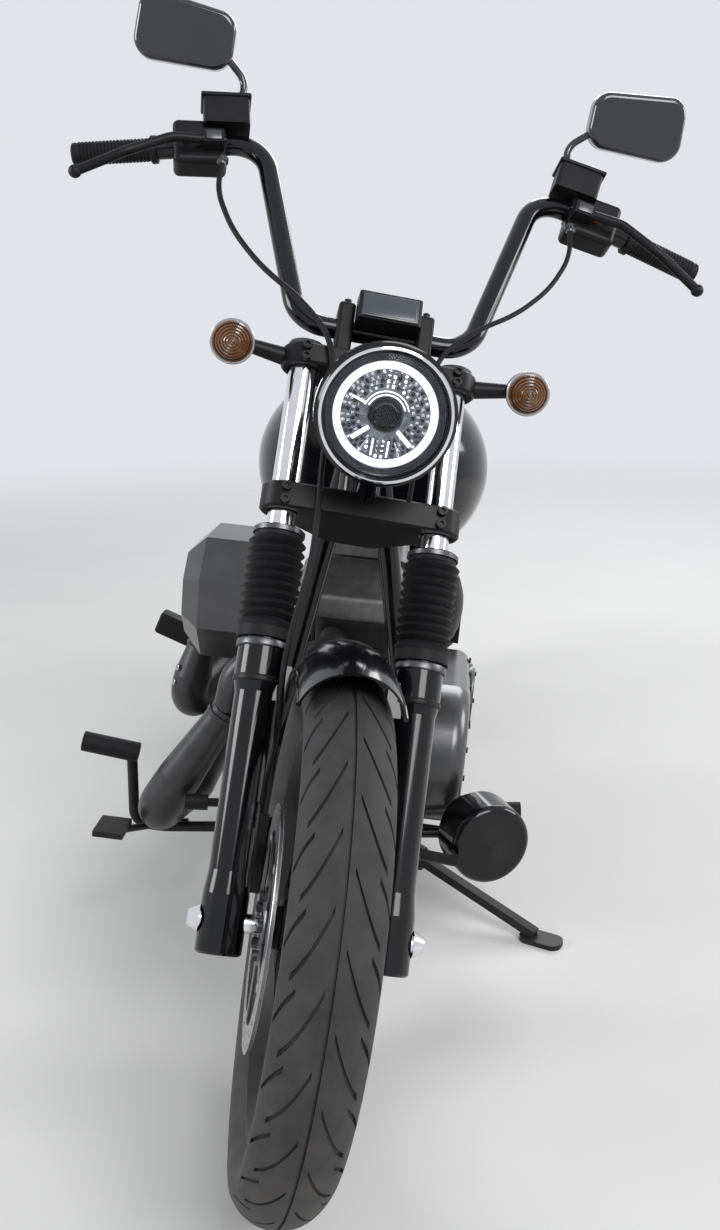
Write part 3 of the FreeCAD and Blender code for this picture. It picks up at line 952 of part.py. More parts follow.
# Round tool canister ahead of the left peg, on a bar from the cradle
canisterWay = FreeCAD.Rotation(V(1, 0, 0), V(0.42, -1, 0.06))
canister = revolved("canister_can", [
    ("-Sizes.canister_length", "0"), ("-Sizes.canister_length", "Sizes.canister_radius - 16", "40", 1),
    ("-Sizes.canister_length + 30", "Sizes.canister_radius"), ("-10", "Sizes.canister_radius", "12", -1),
    ("0", "Sizes.canister_radius - 10", "260", 1), ("7", "5"), ("7", "0")],
    placement=FreeCAD.Placement(V(size["canister_x"], size["canister_y"], size["canister_z"]), canisterWay))
canBar = feature("canister_bar", rod(V(cradleX + 4, 606, 178), V(236, 560, 216), 9).cut(lowRail))
keep(fused("tool_canister", [canister, canBar], stance), "frame")

# Rear lamp and blank plate on the fender's tail
lampAngle = math.radians(22)
tailReach = size["rear_radius"] + size["fender_gap"] + size["fender_skin"]
tailSpot = V(0, size["wheelbase"] + math.cos(lampAngle) * (tailReach + 0.3), size["rear_radius"] + math.sin(lampAngle) * (tailReach + 0.3))
tailTurn = FreeCAD.Placement(tailSpot, FreeCAD.Rotation(acrossAxis, 22))
tail = Part.makeBox(92, 34, 44, V(-46, 0, -12))
tail = tail.makeFillet(8, [edge for edge in tail.Edges if edge.BoundBox.YMin > 30])
keep(feature("tail_lamp", tail, stance.multiply(tailTurn)), "frame")
holder = merged([Part.makeBox(30, 16, 40, V(-15, 1.2, -52.6)), Part.makeBox(178, 5, 102, V(-89, 15, -128))])
plateSpots = [V(side * size["plate_across"] / 2, 10, -42) for side in (-1, 1)]
for spot in plateSpots:
    holder = holder.cut(rod(spot, spot + V(0, 20, 0), size["plate_hole"]))
plateTurn = stance.multiply(tailTurn)
keep(feature("number_plate", holder, plateTurn), "frame")
rearCaliper = Part.makeBox(44, 76, 96, V(-size["rear_disc_x"] - 22, size["wheelbase"] - 176, size["rear_radius"] + 24))
rearCaliper = rearCaliper.makeFillet(8, [edge for edge in rearCaliper.Edges if edge.BoundBox.ZLength > 60])
rearSlot = Part.makeBox(size["disc_thick"] + 2 * size["pad_gap"], 200, 160, V(-size["rear_disc_x"] - size["disc_thick"] / 2 - size["pad_gap"], size["wheelbase"] - 152, size["rear_radius"] + 10))
caliperFoot = Part.makeBox(44, 50, 34, V(-size["rear_disc_x"] - 52, size["wheelbase"] - 164, size["rear_radius"] + 4))
armRoom = rod(V(-armX + 9, 1196, size["pivot_z"] - 1), V(-armX, size["wheelbase"], size["rear_radius"]), armTube + 0.3)
keep(feature("rear_caliper", merged([rearCaliper, caliperFoot]).cut(armRoom).cut(rearSlot), stance), "frame")

# Side stand: a bar on a pin under the left cradle, its foot flat on the floor
pinAt = V(size["stand_x"], size["stand_y"], size["stand_z"])
pinWorld = stance.multVec(pinAt)
footWorld = V(size["foot_x"], size["foot_y"], 0)
legWay = (footWorld + V(0, 0, 12) - pinWorld).normalize()
foldWay = stance.Rotation.multVec(V(0.13, 1, 0.02)).normalize()
pinWay = legWay.cross(foldWay).normalize()
eye = rod(pinWorld - pinWay * 8, pinWorld + pinWay * 8, 17)
footTurn = math.degrees(math.atan2(legWay.y, legWay.x))
plate = Part.makeBox(74, 40, 9, V(-26, -20, 0))
plate = plate.makeFillet(16, [edge for edge in plate.Edges if edge.BoundBox.ZLength > 5])
plate.rotate(V(0, 0, 0), upAxis, footTurn)
plate.translate(footWorld)
sideWay = pinWay.cross(legWay)
legLength = (footWorld + V(0, 0, 12) - pinWorld).Length
legBox = Part.makeBox(legLength, size["stand_bar"] * 2, 14, V(0, -size["stand_bar"], -7))
legBox.Placement = FreeCAD.Placement(FreeCAD.Matrix(
    legWay.x, sideWay.x, pinWay.x, pinWorld.x, legWay.y, sideWay.y, pinWay.y, pinWorld.y,
    legWay.z, sideWay.z, pinWay.z, pinWorld.z, 0, 0, 0, 1))
standBar = merged([eye, legBox, plate])
floorCut = Part.makeBox(400, 400, 40, V(footWorld.x - 200, footWorld.y - 200, -40))
standBar = standBar.cut(floorCut).cut(rod(pinWorld - pinWay * 40, pinWorld + pinWay * 40, 8.3))
keep(feature("side_stand", standBar), "side_stand")
pin = rod(pinWorld - pinWay * 16, pinWorld + pinWay * 16, 8)
ears = [rod(pinWorld + pinWay * 8.4, pinWorld + pinWay * 16, 17), rod(pinWorld - pinWay * 16, pinWorld - pinWay * 8.4, 17)]
lugTop = stance.multVec(V(cradleX + 4, size["stand_y"], cradleZ - tubeR + 1))
earTop = pinWorld + pinWay * 12.4
eyeRoom = rod(pinWorld - pinWay * 8.3, pinWorld + pinWay * 8.3, 40)
mount = merged([merged(ears + [rod(earTop, lugTop, 9)]).cut(eyeRoom), pin])
mount.Placement = stance.inverse().multiply(mount.Placement)
engineFeet = []
for y in (650, 872):
    engineFeet.append(rod(V(-cradleX, y, cradleZ), V(cradleX, y, cradleZ), 12))
    engineFeet.append(Part.makeBox(110, 46, tubeR + 1.7, V(-55, y - 23, cradleZ)))
keep(feature("frame_cradles", merged([cradleLeft, twice(cradleLeft), mount] + engineFeet), stance), "frame")

# Origin under the middle of the whole machine, on the floor
doc.recompute()
box = FreeCAD.BoundBox()
for item, body in nodes.values():
    box.add(item.Shape.optimalBoundingBox(True, False))
shift = V(-(box.XMin + box.XMax) / 2, -(box.YMin + box.YMax) / 2, 0)
for item, body in nodes.values():
    item.Placement = FreeCAD.Placement(shift, FreeCAD.Rotation()).multiply(item.Placement)
doc.recompute()
for item in doc.Objects:
    if "Invalid" in item.State or "Error" in item.State:
        raise RuntimeError("%s did not build: %s" % (item.Label, item.State))
for label, (item, body) in nodes.items():
    if item.Shape.isNull() or not item.Shape.isValid():
        raise RuntimeError("%s has no valid shape" % label)
    item.Shape.exportStep("parts/%s.step" % label)
joints = [("steering", "frame", steered.multVec(V(0, 0, 0)), steered.Rotation.multVec(upAxis)),
          ("front_wheel", "steering", frontHub.multVec(V(0, 0, 0)), frontHub.Rotation.multVec(acrossAxis)),
          ("rear_wheel", "frame", rearHub.multVec(V(0, 0, 0)), rearHub.Rotation.multVec(acrossAxis)),
          ("side_stand", "frame", pinWorld, pinWay)]
for child, parent, spot, way in joints:
    print("joint", child, parent, *[round(value, 4) for value in tuple(spot + shift) + tuple(way)])
barWay = (barTop - barLow).normalize()
for name, spot, way in (("bar_tube", steered.multVec(flip((barTop + barLow) * 0.5)), steered.Rotation.multVec(flip(barWay))),
                        ("plate_bolts", plateTurn.multVec(V(0, 20, -42)), plateTurn.Rotation.multVec(rearAxis))):
    print("mount", name, "-", *[round(value, 4) for value in tuple(spot + shift) + tuple(way)])
for body in sorted({body for item, body in nodes.values()}):
    print("body", body, *[label for label, (item, owner) in nodes.items() if owner == body])
print("lean", round(height, 3), round(pitch, 4), "shift", *[round(value, 4) for value in shift], "box", box)
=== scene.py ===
import json
import math
import bpy
from mathutils import Matrix, Vector


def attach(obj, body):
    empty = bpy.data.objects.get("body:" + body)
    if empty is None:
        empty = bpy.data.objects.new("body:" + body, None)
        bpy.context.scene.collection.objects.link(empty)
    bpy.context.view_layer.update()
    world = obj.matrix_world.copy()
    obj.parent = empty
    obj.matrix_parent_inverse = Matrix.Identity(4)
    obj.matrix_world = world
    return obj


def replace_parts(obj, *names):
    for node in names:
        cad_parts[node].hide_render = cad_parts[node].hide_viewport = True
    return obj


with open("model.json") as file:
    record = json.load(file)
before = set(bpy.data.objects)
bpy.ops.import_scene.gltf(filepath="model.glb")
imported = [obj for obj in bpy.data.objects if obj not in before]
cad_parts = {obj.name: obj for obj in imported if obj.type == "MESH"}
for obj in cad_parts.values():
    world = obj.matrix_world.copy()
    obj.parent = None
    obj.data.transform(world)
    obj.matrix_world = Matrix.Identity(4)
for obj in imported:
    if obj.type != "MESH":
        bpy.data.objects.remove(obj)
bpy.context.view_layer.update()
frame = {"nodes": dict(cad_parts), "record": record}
mm = 0.001
print("frame loaded")

# Working frames in metres: bike (x to the rider's left, y rearward, z up the leaning bike), rearHub at the
# rear axle, fork (z up the steering axis, origin level with the front axle), frontHub and lamp
jointOf = {joint["child"]: joint for joint in frame["record"]["behaviour"]["joints"]}
across = Vector(jointOf["rear_wheel"]["axis"])
steerUp = Vector(jointOf["steering"]["axis"])
stance = {"rake": 30.4, "wheelbase": 1.590, "rearRadius": 0.323, "lampAhead": 0.208, "lampUp": 0.630}
rake = math.radians(stance["rake"])
levelBack = steerUp.cross(across)
bikeBack = steerUp * math.sin(rake) + levelBack * math.cos(rake)
bikeUp = steerUp * math.cos(rake) - levelBack * math.sin(rake)


def axes(x, y, z, origin):
    matrix = Matrix((x, y, z)).transposed().to_4x4()
    matrix.translation = origin
    return matrix


rearHub = axes(across, bikeBack, bikeUp, Vector(jointOf["rear_wheel"]["pos_m"]))
bike = rearHub @ Matrix.Translation((0, -stance["wheelbase"], -stance["rearRadius"]))
forkAcross = Vector(jointOf["front_wheel"]["axis"])
fork = axes(forkAcross, steerUp.cross(forkAcross), steerUp, Vector(jointOf["steering"]["pos_m"]))
frontHub = axes(forkAcross, steerUp.cross(forkAcross), steerUp, Vector(jointOf["front_wheel"]["pos_m"]))
lamp = fork @ Matrix.Translation((0, -stance["lampAhead"], stance["lampUp"])) @ Matrix.Rotation(rake, 4, "X")

# Camera at the photograph's place: turn left, tip down, tilt, then the reach of the lens
camera = {"fromHub": (0.1949, -1.3075, 0.7861), "turn": -5.336, "tip": -16.105, "tilt": -0.88, "lens": 35.27,
          "sensor": 36}
turn, tip, tilt = (math.radians(camera[key]) for key in ("turn", "tip", "tilt"))
ahead = Vector((math.sin(turn) * math.cos(tip), math.cos(turn) * math.cos(tip), math.sin(tip)))
level = Vector((math.cos(turn), -math.sin(turn), 0))
upward = level.cross(ahead)
camRight = level * math.cos(tilt) + upward * math.sin(tilt)
camUp = upward * math.cos(tilt) - level * math.sin(tilt)
cameraData = bpy.data.cameras.new("camera")
cameraData.sensor_fit, cameraData.sensor_height = "VERTICAL", camera["sensor"]
cameraData.lens = camera["lens"]
cameraItem = bpy.data.objects.new("camera", cameraData)
cameraSpot = Vector(frontHub.translation) + Vector(camera["fromHub"])
cameraItem.matrix_world = axes(camRight, camUp, -ahead, cameraSpot)
bpy.context.collection.objects.link(cameraItem)
bpy.context.scene.camera = cameraItem
bpy.context.scene.view_settings.view_transform = "Standard"
print("camera placed")


# Sets both ends of a range node, its From or its To
def rangeEnds(node, part, low, high):
    node.inputs[part + " Min"].default_value, node.inputs[part + " Max"].default_value = low, high


# Soft studio light over a plain pale floor
studio = {"floor": (0.74, 0.74, 0.73), "sky": (0.86, 0.88, 0.92), "ambient": 0.30, "shown": 0.88,
          "clearFrom": 1.6, "clearTo": 5.5, "floorSize": 30, "aim": (0, 0, 0.6)}
world = bpy.data.worlds.new("studio")
bpy.context.scene.world = world
world.use_nodes = True
tree = world.node_tree
background = tree.nodes["Background"]
background.inputs["Color"].default_value = (*studio["sky"], 1)
rays = tree.nodes.new("ShaderNodeLightPath")
seen = tree.nodes.new("ShaderNodeMath")
seen.operation, seen.use_clamp = "ADD", True
mirrored = tree.nodes.new("ShaderNodeMath")
mirrored.operation, mirrored.use_clamp = "ADD", True
strength = tree.nodes.new("ShaderNodeMapRange")
rangeEnds(strength, "To", studio["ambient"], studio["shown"])
tree.links.new(rays.outputs["Is Camera Ray"], seen.inputs[0])
tree.links.new(rays.outputs["Is Glossy Ray"], seen.inputs[1])
tree.links.new(seen.outputs[0], mirrored.inputs[0])
tree.links.new(rays.outputs["Is Transmission Ray"], mirrored.inputs[1])
tree.links.new(mirrored.outputs[0], strength.inputs["Value"])
tree.links.new(strength.outputs["Result"], background.inputs["Strength"])

# Area lamps: name, place, width and power
lampRows = [("key", (1.9, -3.4, 3.6), 2.2, 125), ("side", (-3.4, -1.2, 2.2), 1.6, 75),
            ("rear", (1.0, 3.8, 3.2), 2.2, 80), ("left", (3.6, 0.6, 2.0), 1.6, 60)]
for name, spot, width, power in lampRows:
    light = bpy.data.lights.new(name, "AREA")
    light.size, light.energy = width, power
    item = bpy.data.objects.new(name, light)
    item.location = spot
    item.rotation_euler = (Vector(studio["aim"]) - Vector(spot)).to_track_quat("-Z", "Y").to_euler()
    bpy.context.collection.objects.link(item)


# Materials: every finish varies in colour and gloss on Object coordinates, and dust gathers low down
surface = {"rampFrom": 0.3, "rampTo": 0.72, "detail": 6, "fineDetail": 3, "coatRough": 0.06, "reliefGain": 10,
           "reliefDeep": 0.0006, "dustTop": 0.75, "dustColour": (0.20, 0.175, 0.15, 1)}


def finish(name, colour, rough, metal=0, coat=0, spread=0.25, grain=60, gloss=0.06, bump=0.02, bumpGrain=900,
           dust=0, mirror=0.5):
    material = bpy.data.materials.new(name)
    material.use_nodes = True
    nodes, links = material.node_tree.nodes, material.node_tree.links
    shader = nodes["Principled BSDF"]
    place = nodes.new("ShaderNodeTexCoord")
    cloud = nodes.new("ShaderNodeTexNoise")
    cloud.inputs["Scale"].default_value, cloud.inputs["Detail"].default_value = grain, surface["detail"]
    ramp = nodes.new("ShaderNodeValToRGB")
    dark, light = ramp.color_ramp.elements
    dark.position, light.position = surface["rampFrom"], surface["rampTo"]
    dark.color = (*[part * (1 - spread) for part in colour], 1)
    light.color = (*[min(1, part * (1 + spread)) for part in colour], 1)
    shine = nodes.new("ShaderNodeMapRange")
    rangeEnds(shine, "To", rough - gloss, rough + gloss)
    fine = nodes.new("ShaderNodeTexNoise")
    fine.inputs["Scale"].default_value, fine.inputs["Detail"].default_value = bumpGrain, surface["fineDetail"]
    relief = nodes.new("ShaderNodeBump")
    relief.inputs["Strength"].default_value = bump * surface["reliefGain"]
    relief.inputs["Distance"].default_value = surface["reliefDeep"]
    for tool in (cloud, fine):
        links.new(place.outputs["Object"], tool.inputs["Vector"])
    links.new(cloud.outputs["Fac"], ramp.inputs["Fac"])
    links.new(cloud.outputs["Fac"], shine.inputs["Value"])
    links.new(shine.outputs["Result"], shader.inputs["Roughness"])
    links.new(fine.outputs["Fac"], relief.inputs["Height"])
    links.new(relief.outputs["Normal"], shader.inputs["Normal"])
    shader.inputs["Metallic"].default_value = metal
    shader.inputs["Coat Weight"].default_value = coat
    shader.inputs["Coat Roughness"].default_value = surface["coatRough"]
    shader.inputs["Specular IOR Level"].default_value = mirror
    if not dust:
        links.new(ramp.outputs["Color"], shader.inputs["Base Color"])
        return material
    height = nodes.new("ShaderNodeSeparateXYZ")
    links.new(place.outputs["Object"], height.inputs["Vector"])
    fade = nodes.new("ShaderNodeMapRange")
    rangeEnds(fade, "From", surface["dustTop"], 0)
    rangeEnds(fade, "To", 0, dust)
    links.new(height.outputs["Z"], fade.inputs["Value"])
    patch = nodes.new("ShaderNodeMath")
    patch.operation = "MULTIPLY"
    links.new(fade.outputs["Result"], patch.inputs[0])
    links.new(cloud.outputs["Fac"], patch.inputs[1])
    soiled = nodes.new("ShaderNodeMix")
    soiled.data_type = "RGBA"
    soiled.inputs["B"].default_value = surface["dustColour"]
    links.new(patch.outputs[0], soiled.inputs["Factor"])
    links.new(ramp.outputs["Color"], soiled.inputs["A"])
    links.new(soiled.outputs["Result"], shader.inputs["Base Color"])
    return material


def glass(name, colour, rough=0.02, see=1, bend=1.15):
    material = finish(name, colour, rough, spread=0.03, gloss=0.01, bump=0.004)
    shader = material.node_tree.nodes["Principled BSDF"]
    shader.inputs["Transmission Weight"].default_value = see
    shader.inputs["IOR"].default_value = bend
    return material


def glow(name, colour, strength):
    material = finish(name, colour, 0.3, spread=0.04)
    shader = material.node_tree.nodes["Principled BSDF"]
    shader.inputs["Emission Color"].default_value = (*colour, 1)
    shader.inputs["Emission Strength"].default_value = strength
    return material


looks = {
    "glossBlack": finish("glossBlack", (0.004, 0.004, 0.005), 0.14, coat=0.3, mirror=0.25, spread=0.2, grain=18,
                         gloss=0.05, bump=0.004),
    "satinBlack": finish("satinBlack", (0.008, 0.008, 0.009), 0.40, mirror=0.2, grain=40, bump=0.02, dust=0.15),
    "crackleBlack": finish("crackleBlack", (0.012, 0.012, 0.013), 0.5, mirror=0.2, grain=50, bump=0.06,
                           bumpGrain=1400, dust=0.2),
    "gunmetal": finish("gunmetal", (0.085, 0.085, 0.088), 0.30, metal=0.7, coat=0.3, spread=0.12, grain=22,
                       bump=0.01),
    "pipeBlack": finish("pipeBlack", (0.055, 0.055, 0.057), 0.36, metal=0.6, spread=0.2, grain=26, bump=0.015),
    "castGrey": finish("castGrey", (0.30, 0.30, 0.30), 0.40, metal=0.8, spread=0.15, grain=70, bump=0.05,
                       dust=0.2),
    "chrome": finish("chrome", (0.78, 0.78, 0.80), 0.07, metal=1, spread=0.04, grain=30, gloss=0.03,
                     bump=0.003),
    "brushed": finish("brushed", (0.42, 0.42, 0.43), 0.30, metal=1, spread=0.12, grain=160, bump=0.02),
    "tyreRubber": finish("tyreRubber", (0.034, 0.034, 0.036), 0.66, mirror=0.3, spread=0.25, grain=34,
                         bump=0.04, bumpGrain=700, dust=0.35),
    "softRubber": finish("softRubber", (0.008, 0.008, 0.009), 0.55, mirror=0.2, spread=0.25, grain=60,
                         bump=0.03),
    "redLens": glass("redLens", (0.5, 0.015, 0.02), 0.08, 0.4),
    "hide": finish("hide", (0.020, 0.020, 0.021), 0.48, spread=0.3, grain=90, gloss=0.08, bump=0.09,
                   bumpGrain=420),
    "plateWhite": finish("plateWhite", (0.72, 0.72, 0.70), 0.38, spread=0.05, grain=40, bump=0.01, dust=0.1),
    "clear": glass("clear", (0.96, 0.97, 1.0)),
    "halo": glow("halo", (0.90, 0.93, 0.97), 0.9),
    "reflector": finish("reflector", (0.24, 0.25, 0.27), 0.14, metal=1, spread=0.3, grain=120, bump=0.01),
    "darkLens": finish("darkLens", (0.008, 0.008, 0.009), 0.08, coat=0.2, mirror=0.3, spread=0.2, grain=50,
                       bump=0.001),
    "darkSteel": finish("darkSteel", (0.10, 0.10, 0.105), 0.32, metal=0.9, spread=0.15, grain=90, bump=0.02),
    "signalLens": finish("signalLens", (0.15, 0.058, 0.017), 0.10, coat=1, spread=0.2, grain=40, bump=0.01),
    # facetDark is chrome darkened, used as painted shade on the headlamp facets; the lamp collar uses it too
    "facetDark": finish("facetDark", (0.06, 0.063, 0.07), 0.12, metal=1, spread=0.4, grain=200, bump=0.01),
    "blueGrey": finish("blueGrey", (0.055, 0.066, 0.085), 0.2, coat=0.4, spread=0.08, grain=20, bump=0.004),
    "mirrorGlass": finish("mirrorGlass", (0.85, 0.87, 0.88), 0.02, metal=1, spread=0.02, gloss=0.01,
                          bump=0.001),
    "mirrorBack": finish("mirrorBack", (0.018, 0.018, 0.021), 0.12, coat=0.7, mirror=0.4, spread=0.1, grain=14,
                         bump=0.003),
}
nodeLooks = {
    "glossBlack": ["fork_sliders", "front_fender", "rear_fender", "headlamp_shell", "headlamp_bezel",
                   "handlebar", "fuel_tank", "fuel_cap", "tool_canister", "frame_backbone", "frame_cradles",
                   "fender_struts", "swingarm"],
    "satinBlack": ["lower_clamp", "upper_clamp", "bar_controls", "instrument", "side_covers", "foot_controls",
                   "side_stand", "rear_pulley", "front_rim", "rear_rim", "voltage_regulator", "front_signals",
                   "rear_signals"],
    "crackleBlack": ["front_caliper", "rear_caliper", "cylinders", "horn_cover"],
    "gunmetal": ["air_cleaner", "primary_cover", "crankcase"],
    "pipeBlack": ["exhaust_pipes", "mufflers"],
    "castGrey": ["rocker_boxes"],
    "chrome": ["fork_tubes", "pushrod_tubes", "front_axle", "rear_axle"],
    "brushed": ["front_disc", "rear_disc"],
    "tyreRubber": ["front_tyre", "rear_tyre"],
    "softRubber": ["fork_gaiters", "grips", "footpegs", "drive_belt", "brake_hose", "clutch_cable"],
    "redLens": ["tail_lamp"],
    "hide": ["seat"],
    "plateWhite": ["number_plate"],
    "clear": ["headlamp_lens"],
    "mirrorBack": ["mirrors"],
}
for look, names in nodeLooks.items():
    for name in names:
        item = frame["nodes"][name]
        item.data.materials.clear()
        item.data.materials.append(looks[look])
print("materials set")


# Modelling helpers; both lists the two sides, the rider's left first
both = (1, -1)


def alone(piece):
    bpy.ops.object.select_all(action="DESELECT")
    piece.select_set(True)
    bpy.context.view_layer.objects.active = piece


def editing(state):
    bpy.ops.object.mode_set(mode="EDIT" if state else "OBJECT")


# Leaves edit mode with no face picked
def nothingSelected():
    bpy.ops.mesh.select_mode(type="FACE")
    bpy.ops.mesh.select_all(action="DESELECT")
    editing(False)


# Spins a closed section, rows of axial and radial millimetres, about local X
def lathe(name, section, steps, look):
    bpy.ops.object.select_all(action="DESELECT")
    bpy.ops.mesh.primitive_circle_add(vertices=len(section), radius=1, fill_type="NOTHING")
    piece = bpy.context.object
    piece.name = name
    for vertex, (axial, radial) in zip(piece.data.vertices, section):
        vertex.co = (axial * mm, 0, radial * mm)
    editing(True)
    bpy.ops.mesh.select_all(action="SELECT")
    bpy.ops.mesh.spin(steps=steps, angle=2 * math.pi, center=(0, 0, 0), axis=(1, 0, 0))
    bpy.ops.mesh.select_all(action="SELECT")
    bpy.ops.mesh.remove_doubles(threshold=1e-6)
    bpy.ops.mesh.normals_make_consistent(inside=False)
    nothingSelected()
    piece.data.materials.append(looks[look])
    return piece


# A box with rounded edges, sizes in millimetres
def block(name, size, look, edge=1.0, segments=2):
    bpy.ops.object.select_all(action="DESELECT")
    bpy.ops.mesh.primitive_cube_add(size=1)
    piece = bpy.context.object
    piece.name = name
    piece.scale = [part * mm for part in size]
    bpy.ops.object.transform_apply(location=False, rotation=False, scale=True)
    rounding = piece.modifiers.new("edge", "BEVEL")
    rounding.width, rounding.segments = edge * mm, segments
    bpy.ops.object.modifier_apply(modifier="edge")
    piece.data.materials.append(looks[look])
    return piece


# Bakes the piece's place into its mesh and hangs it on its body
def settle(piece, matrix, body, angle=30):
    alone(piece)
    bpy.ops.object.transform_apply(location=True, rotation=True, scale=True)
    piece.data.transform(matrix)
    if matrix.determinant() < 0:
        piece.data.flip_normals()
    piece.data.update()
    bpy.ops.object.shade_smooth_by_angle(angle=math.radians(angle))
    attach(piece, body)
    return piece


def joined(name, pieces):
    bpy.ops.object.select_all(action="DESELECT")
    for piece in pieces:
        piece.select_set(True)
    bpy.context.view_layer.objects.active = pieces[0]
    if len(pieces) > 1:
        bpy.ops.object.join()
    pieces[0].name = name
    return pieces[0]


# A place in millimetres whose local X (or Z) looks along way
def pointing(spot, way, lead="X"):
    turn = Vector(way).to_track_quat(lead, "Y" if lead == "Z" else "Z")
    return Matrix.Translation(Vector(spot) * mm) @ turn.to_matrix().to_4x4()


# Moves a loose piece's mesh before it is joined to others
def baked(piece, matrix):
    alone(piece)
    bpy.ops.object.transform_apply(location=True, rotation=True, scale=True)
    piece.data.transform(matrix)
    return piece


# Tyres: a closed section spun round the hub, grooves pressed in, then swept so they run back to the shoulder
tyreRows = {
    "front": {"half": 51.5, "crown": 58, "radius": 331, "bead": 242, "pitches": 26, "hub": frontHub,
              "body": "front_wheel"},
    "rear": {"half": 75, "crown": 84, "radius": 323, "bead": 204, "pitches": 22, "hub": rearHub,
             "body": "rear_wheel"},
}
tread = {"cells": 10, "depth": 3.6, "centre": 1.6, "steep": 2.7, "flat": 0.9, "lip": 0.3, "low": 0.1,
         "high": 0.8, "shortLow": 0.62, "shortHigh": 0.98,
         "shares": (0.13, 0.2, 0.28, 0.36, 0.44, 0.52, 0.6, 0.68, 0.76, 0.84, 0.92, 1)}
carcass = {"foot": 0.62, "rise": 12, "swell": 0.85, "steps": 8, "ridge": 0.8, "ridgeSteps": (3, 4),
           "wall": 12, "innerIn": 10, "innerHalf": 0.6, "innerDrop": 18}


def tyre(end):
    row = tyreRows[end]
    half, crown, radius, bead = row["half"], row["crown"], row["radius"], row["bead"]
    centre = radius - crown
    turnMost = math.asin(half / crown)
    reach = crown * turnMost
    shares = [0, tread["centre"] / reach, *tread["shares"]]
    turns = [turnMost * share for share in shares]
    outer = [(crown * math.sin(turn), centre + crown * math.cos(turn)) for turn in turns]
    shoulder = outer[-1][1]
    foot, rise = half * carcass["foot"], bead + carcass["rise"]
    swell = (shoulder - bead) * carcass["swell"]
    first, last = Vector((half, shoulder)), Vector((foot, rise))
    chord = last - first
    out = Vector((-chord.y, chord.x)).normalized()
    inward = out if out.x < 0 else -out
    middle = (first + last) / 2 + inward * math.sqrt(swell ** 2 - (chord.length / 2) ** 2)
    angles = [math.atan2(spot.y - middle.y, spot.x - middle.x) for spot in (first, last)]
    wall = []
    for step in range(1, carcass["steps"] + 1):
        angle = angles[0] + (angles[1] - angles[0]) * step / carcass["steps"]
        bulge = swell + (carcass["ridge"] if step in carcass["ridgeSteps"] else 0)
        wall.append((middle.x + bulge * math.cos(angle), middle.y + bulge * math.sin(angle)))
    thick = carcass["wall"]
    inner = [(foot, bead), (foot - thick, bead), (foot - thick, rise),
             (half - carcass["innerIn"], shoulder - thick),
             (half * carcass["innerHalf"], radius - carcass["innerDrop"])]
    right = outer[1:] + wall + inner
    section = [(0, radius)] + right + [(0, radius - thick)] + [(-side, up) for side, up in reversed(right)]
    cells = row["pitches"] * tread["cells"]
    piece = lathe(end + "Tread", section, cells, "tyreRubber")
    cell = 2 * math.pi / cells
    low, high = reach * tread["low"], reach * tread["high"]
    for face in piece.data.polygons:
        spot = face.center
        out = math.hypot(spot.y, spot.z) * 1000
        side = crown * math.atan2(abs(spot.x) * 1000, out - centre)
        index = int(math.floor(math.atan2(spot.z, spot.y) / cell + 0.001)) % tread["cells"]
        wanted = 0 if spot.x > 0 else tread["cells"] // 2
        onTop = out > centre + crown * math.cos(side / crown) - 3
        short = (wanted + 3) % tread["cells"]
        long = index == wanted and low < side < high
        stub = index == short and reach * tread["shortLow"] < side < reach * tread["shortHigh"]
        face.select = onTop and (side < tread["centre"] or long or stub)
    alone(piece)
    editing(True)
    bpy.ops.mesh.inset(thickness=tread["lip"] * mm, depth=-tread["depth"] * mm, use_even_offset=False)
    nothingSelected()
    span = high - low
    for vertex in piece.data.vertices:
        out = math.hypot(vertex.co.y, vertex.co.z) * 1000
        side = min(crown * math.atan2(abs(vertex.co.x) * 1000, max(1, out - centre)), reach)
        gone = max(0, side - low)
        slope = tread["steep"] + (tread["flat"] - tread["steep"]) * min(1, gone / span) / 2
        vertex.co = Matrix.Rotation(slope * gone / radius, 3, "X") @ vertex.co
    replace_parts(settle(piece, row["hub"], row["body"]), end + "_tyre")


for end in tyreRows:
    tyre(end)
print("tyres done")

# Brake discs: a drilled ring on five bevelled arms
brake = {"outer": 150, "inner": 117, "thick": 5, "hole": 3.1, "rows": ((141, 0), (133, 0.5), (125, 0)),
         "around": 30, "arms": 5, "armFrom": 34, "armTo": 121, "armWide": 20, "rivetAt": 113, "screwAt": 37,
         "bore": 18, "hub": 48}
# Place across the wheel, face of the hub, frame and body
discRows = {"front": (-54, -46.3, frontHub, "front_wheel"), "rear": (-88, -70.3, rearHub, "rear_wheel")}


